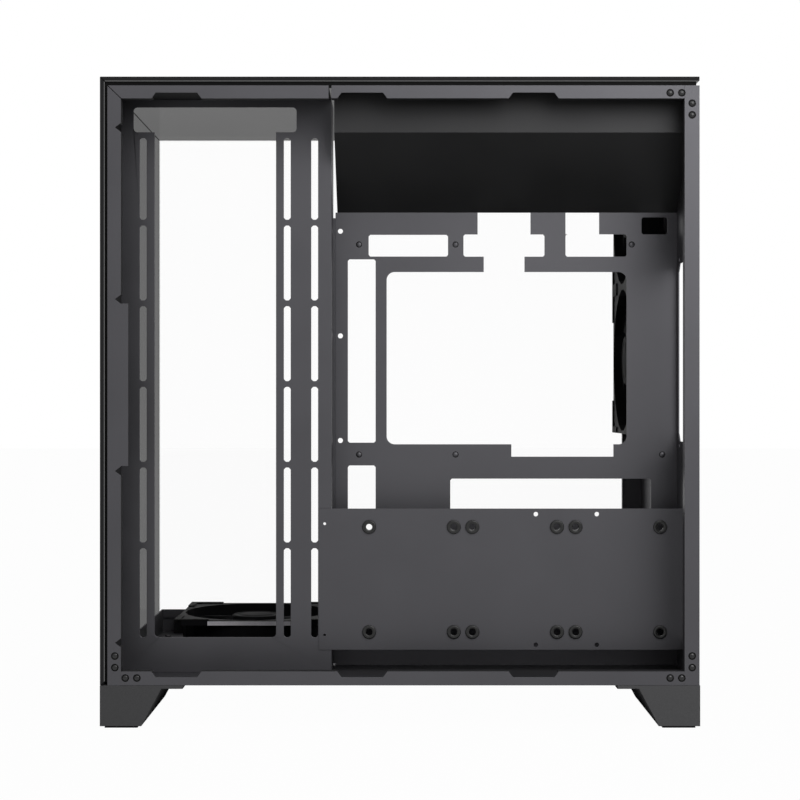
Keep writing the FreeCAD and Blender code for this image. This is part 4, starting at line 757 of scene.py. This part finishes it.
class CASE_OT_glass(bpy.types.Operator):
    """Finish the glass panels and the strips that seat them"""

    bl_idname = "case.glass"
    bl_label = "Glass panels"

    def execute(self, context):
        colours = context.scene.case_colours
        dark = (colours.glass, colours.glass_facing, colours.glass_grazing, colours.glass_rim)
        clear = (colours.clear, colours.clear_facing, colours.clear_grazing, colours.clear_rim)
        panels = (("front_glass", dark, "Y"), ("top_glass", dark, "Z"), ("left_glass", clear, "X"))
        for node, glass, across in panels:
            dress(panel_glass(node, *glass, across), node)
            round_edges(context.scene.case_sizes.glass_edge, node)
        seal = soft_rubber("gasket_rubber", colours.rubber)
        dress(seal, "front_gasket", "top_gasket")
        bead = mitre_bead(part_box("front_glass"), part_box("top_glass"))
        bracket_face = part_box("side_fan_bracket")[1][0]
        corner = corner_seal(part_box("front_gasket"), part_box("top_gasket"), bracket_face)
        put_mesh("glass_beads", [bead, corner], seal, CHASSIS, None)
        return {"FINISHED"}


class CASE_OT_fans(bpy.types.Operator):
    """Finish the fan frames and pads and make the rotors' curved blades"""

    bl_idname = "case.fans"
    bl_label = "Fans"

    def execute(self, context):
        colours = context.scene.case_colours
        sizes = context.scene.case_sizes
        frames = [f"{name}_fan_frame" for name in ("rear_upper", "rear_lower", "bottom")]
        dress(moulded_plastic("fan_frame_plastic", colours.fan, 0.5, 2600.0, 0.1, 0.02), *frames)
        round_edges(sizes.moulded_edge, *frames)
        dress(soft_rubber("pad_rubber", colours.rubber), "fan_pads")
        # Painted highlight: a pale strip where the floor fan's flange side catches the light
        strip = flange_highlight_strip(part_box("bottom_fan_frame"), sizes.strip_length,
                           sizes.strip_low, sizes.strip_high, sizes.strip_proud)
        pale = moulded_plastic("flange_highlight_paint", colours.strip, 0.5, 2600.0, 0.06)
        put_mesh("fan_flange_highlight", [strip], pale, CHASSIS, None)
        plastic = moulded_plastic("rotor_plastic", colours.rotor, 0.6, 2600.0, 0.06, 0.02)
        for name, axis in (("rear_upper", (0, -1, 0)), ("rear_lower", (0, -1, 0)), ("bottom", (0, 0, 1))):
            self.rotor(sizes, name, np.array(axis, float), plastic)
        return {"FINISHED"}

    def rotor(self, sizes, name, axis, plastic):
        """Rotor on its joint's axis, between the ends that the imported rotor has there."""
        joint = next(each for each in frame["joints"] if each["name"] == f"{name}_fan_spin")
        low, high = (np.array(corner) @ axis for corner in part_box(f"{name}_fan_rotor"))
        start, end = min(low, high), max(low, high)
        centre = np.array(joint["pos_m"], float)
        centre = centre - axis * (centre @ axis) + axis * start
        base = sizes.shaft_length
        top = end - start
        hub = rotor_hub(centre, axis, sizes.hub_radius, base, top, sizes.shaft_radius, 2 * sizes.turn_steps)
        root = sizes.blade_root * sizes.hub_radius
        blades = rotor_blades(centre, axis, sizes.blade_count, root, sizes.rotor_radius,
                              base + sizes.blade_low, top - sizes.blade_high, sizes.blade_thick)
        body = f"{name}_rotor"
        put_mesh(body, [hub, blades], plastic, body, f"{name}_fan_rotor")


class CASE_OT_feet(bpy.types.Operator):
    """Finish the wedge feet and their rubber pads"""

    bl_idname = "case.feet"
    bl_label = "Feet"

    def execute(self, context):
        colours = context.scene.case_colours
        feet = [f"foot_{end}_{side}" for end in ("front", "rear") for side in ("right", "left")]
        dress(moulded_plastic("foot_plastic", colours.foot, 0.6, 2000.0, 0.14, 0.0), *feet)
        round_edges(context.scene.case_sizes.moulded_edge, *feet)
        dress(soft_rubber("foot_rubber", colours.rubber), "foot_pads")
        return {"FINISHED"}


class CASE_OT_fasteners(bpy.types.Operator):
    """Finish the rivets, screws, standoffs and grommets"""

    bl_idname = "case.fasteners"
    bl_label = "Fasteners"

    def execute(self, context):
        colours = context.scene.case_colours
        sizes = context.scene.case_sizes
        self.domed_ends(colours, sizes)
        self.screws(colours, sizes)
        self.grommets(colours, sizes)
        dress(plated_metal("standoff_plate", colours.standoff, 0.5, (8.0, 1.0, 1.0)), "standoffs")
        return {"FINISHED"}

    def domed_ends(self, colours, sizes):
        """Domed rivet heads and standoff ends, each with a thin dark ring round it: a painted contact
        shadow.
        """
        steps = sizes.turn_steps
        rivets = solids("frame_rivets")
        rise = (rivets[:, 1, 0] - rivets[:, 0, 0]).max()
        spots = rivets.mean(axis=1)
        spots[:, 0] = rivets[:, 0, 0]
        heads = domes(spots, sizes.rivet_head, rise, steps)
        enamel = moulded_plastic("rivet_enamel", colours.enamel, 0.2, 3000.0, 0.02, 0.4)
        put_mesh("rivet_heads", [heads], enamel, CHASSIS, "frame_rivets")
        studs = solids("standoffs")
        ends = studs.mean(axis=1)
        ends[:, 0] = max(studs[:, 1, 0].max(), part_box("tray_front_arm")[1][0])
        caps = domes(ends, sizes.stud_head, rise, steps)
        coat = powder_coat("stud_coat", colours.steel)
        put_mesh("stud_ends", [caps], coat, CHASSIS, None)
        # Painted shadow: dark rings round each rivet and stud stand in for their contact shadows
        rings = [shadow_rings(places, sizes.shadow_lap * dome, seat, sizes.shadow_rise, steps)
                 for places, dome, seat in ((spots, sizes.rivet_head, sizes.rivet_shadow),
                                            (ends, sizes.stud_head, sizes.stud_shadow))]
        black = soft_rubber("painted_shadow_black", colours.rubber)
        put_mesh("painted_contact_shadows", rings, black, CHASSIS, None)

    def screws(self, colours, sizes):
        """Cross-head screws of the fans, the slot covers and the feet; the floor fan's lie lowest."""
        black = plated_metal("black_fasteners", colours.fastener, 0.38, (1.0, 1.0, 8.0))
        small = (sizes.screw_shank, sizes.screw_head, sizes.turn_steps)
        large = (sizes.fan_shank, sizes.screw_head, sizes.turn_steps)
        fan = solids("fan_screws")
        floor = fan[:, 1, 2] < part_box("rear_lower_fan_frame")[0][2]
        heads = [screw_heads(fan[floor], (0, 0, 1), *large), screw_heads(fan[~floor], (0, 1, 0), *large)]
        put_mesh("fan_screw_heads", heads, black, CHASSIS, "fan_screws")
        cards = screw_heads(solids("pci_screws"), (0, -1, 0), *small)
        put_mesh("card_screw_heads", [cards], black, CHASSIS, "pci_screws")
        feet = screw_heads(solids("foot_screws"), (0, 0, 1), *small)
        put_mesh("foot_screw_heads", [feet], black, CHASSIS, "foot_screws")

    def grommets(self, colours, sizes):
        """Rubber grommets in the drive panel's holes."""
        rings = grommet_rings(solids("drive_grommets"), sizes.grommet_hole, sizes.grommet_neck,
                              sizes.grommet_sheet, sizes.turn_steps)
        rubber = soft_rubber("grommet_rubber", colours.rubber, 0.3, 0.4)
        put_mesh("grommet_rings", [rings], rubber, CHASSIS, "drive_grommets")


class CASE_OT_controls(bpy.types.Operator):
    """Finish the control housing, buttons and ports"""

    bl_idname = "case.controls"
    bl_label = "Controls"

    def execute(self, context):
        colours = context.scene.case_colours
        housing = moulded_plastic("control_plastic", colours.control, 0.5, 2400.0, 0.12)
        dress(housing, "io_housing", "audio_jack")
        button = moulded_plastic("button_plastic", colours.button, 0.3, 3000.0, 0.04)
        dress(button, "power_button", "reset_button")
        shell = plated_metal("port_shell", colours.shell, 0.26, (1.0, 8.0, 8.0))
        dress(shell, "usb_ports", "usb_c_port")
        return {"FINISHED"}


class CASE_OT_stage(bpy.types.Operator):
    """Set up the camera, the pale floor, the light and the white surroundings"""

    bl_idname = "case.stage"
    bl_label = "Stage"

    def execute(self, context):
        stage = context.scene.case_stage
        scene = context.scene
        scene.view_settings.view_transform = "Standard"
        camera = bpy.data.cameras.new("camera")
        camera.sensor_width = 36.0
        camera.lens = stage.lens
        viewer = bpy.data.objects.new("camera", camera)
        viewer.location = (stage.distance, 0.0, stage.height)
        viewer.rotation_euler = (math.pi / 2, 0.0, math.pi / 2)
        scene.collection.objects.link(viewer)
        scene.camera = viewer
        self.lamp("key", stage.key_power, stage.key_size, stage.key_place, stage.key_target)
        self.lamp("fill", stage.fill_power, stage.fill_size, stage.fill_place, stage.fill_target)
        self.floor(stage)
        self.surroundings(stage.ambient, stage.gloss)
        return {"FINISHED"}

    def lamp(self, name, power, size, place, target):
        """Square lamp that faces a target."""
        light = bpy.data.lights.new(name, "AREA")
        light.energy = power
        light.size = size
        lamp = bpy.data.objects.new(name, light)
        lamp.location = place
        away = np.array(place) - np.array(target)
        flat = math.hypot(away[0], away[1])
        lamp.rotation_euler = (math.atan2(flat, away[2]), 0.0, math.atan2(away[0], -away[1]))
        bpy.context.scene.collection.objects.link(lamp)

    def floor(self, stage):
        """Pale floor: mostly even white to the eye, with a little of the light and shade on it."""
        mesh = bpy.data.meshes.new("floor")
        corners = np.array([(-1, -1), (1, -1), (1, 1), (-1, 1)]) * stage.floor_size / 2
        mesh.from_pydata([(*corner, -stage.floor_drop) for corner in corners.tolist()], [], [(0, 1, 2, 3)])
        plate = bpy.data.objects.new("floor", mesh)
        bpy.context.scene.collection.objects.link(plate)
        finish = Finish("floor_white", (stage.floor_tone, stage.floor_tone, stage.floor_tone), 0.9)
        seen = finish.ray("Is Camera Ray").either(finish.ray("Is Glossy Ray"))
        seen = seen.either(finish.ray("Is Transmission Ray"))
        lit = Term(finish, finish.surface.outputs["BSDF"])
        even = finish.add("ShaderNodeEmission", {}, {"Color": WHITE, "Strength": 1.0})
        finish.show(finish.mix(stage.floor_even * seen, lit, even))
        mesh.materials.append(finish.material)

    def surroundings(self, strength, gloss):
        """Even grey light all round that looks white to the eye, through glass and, in part, in gloss."""
        world = bpy.data.worlds.new("surroundings")
        world.use_nodes = True
        shader = Shader(world.node_tree, "ShaderNodeOutputWorld")
        seen = shader.ray("Is Camera Ray").either(shader.ray("Is Transmission Ray"))
        seen = seen.either(gloss * shader.ray("Is Glossy Ray"))
        dim = shader.add("ShaderNodeBackground", {}, {"Color": WHITE, "Strength": strength})
        white = shader.add("ShaderNodeBackground", {}, {"Color": WHITE, "Strength": 1.0})
        shader.show(shader.mix(seen, dim, white))
        bpy.context.scene.world = world


class CASE_PT_pieces(bpy.types.Panel):
    """Lists the operators in the order in which they finish the case"""

    bl_idname = "CASE_PT_pieces"
    bl_label = "Computer case"
    bl_space_type = "VIEW_3D"
    bl_region_type = "UI"
    bl_category = "Case"

    def draw(self, context):
        for operator in OPERATORS:
            self.layout.operator(operator.bl_idname)


OPERATORS = (CASE_OT_stage, CASE_OT_sheet_steel, CASE_OT_glass, CASE_OT_fans, CASE_OT_feet,
             CASE_OT_fasteners, CASE_OT_controls)
CLASSES = (CaseSizes, CaseColours, CaseStage, *OPERATORS, CASE_PT_pieces)


def register():
    for each in CLASSES:
        bpy.utils.register_class(each)
    bpy.types.Scene.case_sizes = PointerProperty(type=CaseSizes)
    bpy.types.Scene.case_colours = PointerProperty(type=CaseColours)
    bpy.types.Scene.case_stage = PointerProperty(type=CaseStage)


def unregister():
    del bpy.types.Scene.case_stage
    del bpy.types.Scene.case_colours
    del bpy.types.Scene.case_sizes
    for each in reversed(CLASSES):
        bpy.utils.unregister_class(each)


def main():
    register()
    bpy.ops.case.stage()
    bpy.ops.case.sheet_steel()
    bpy.ops.case.glass()
    bpy.ops.case.fans()
    bpy.ops.case.feet()
    bpy.ops.case.fasteners()
    bpy.ops.case.controls()


if __name__ == "__main__":
    main()
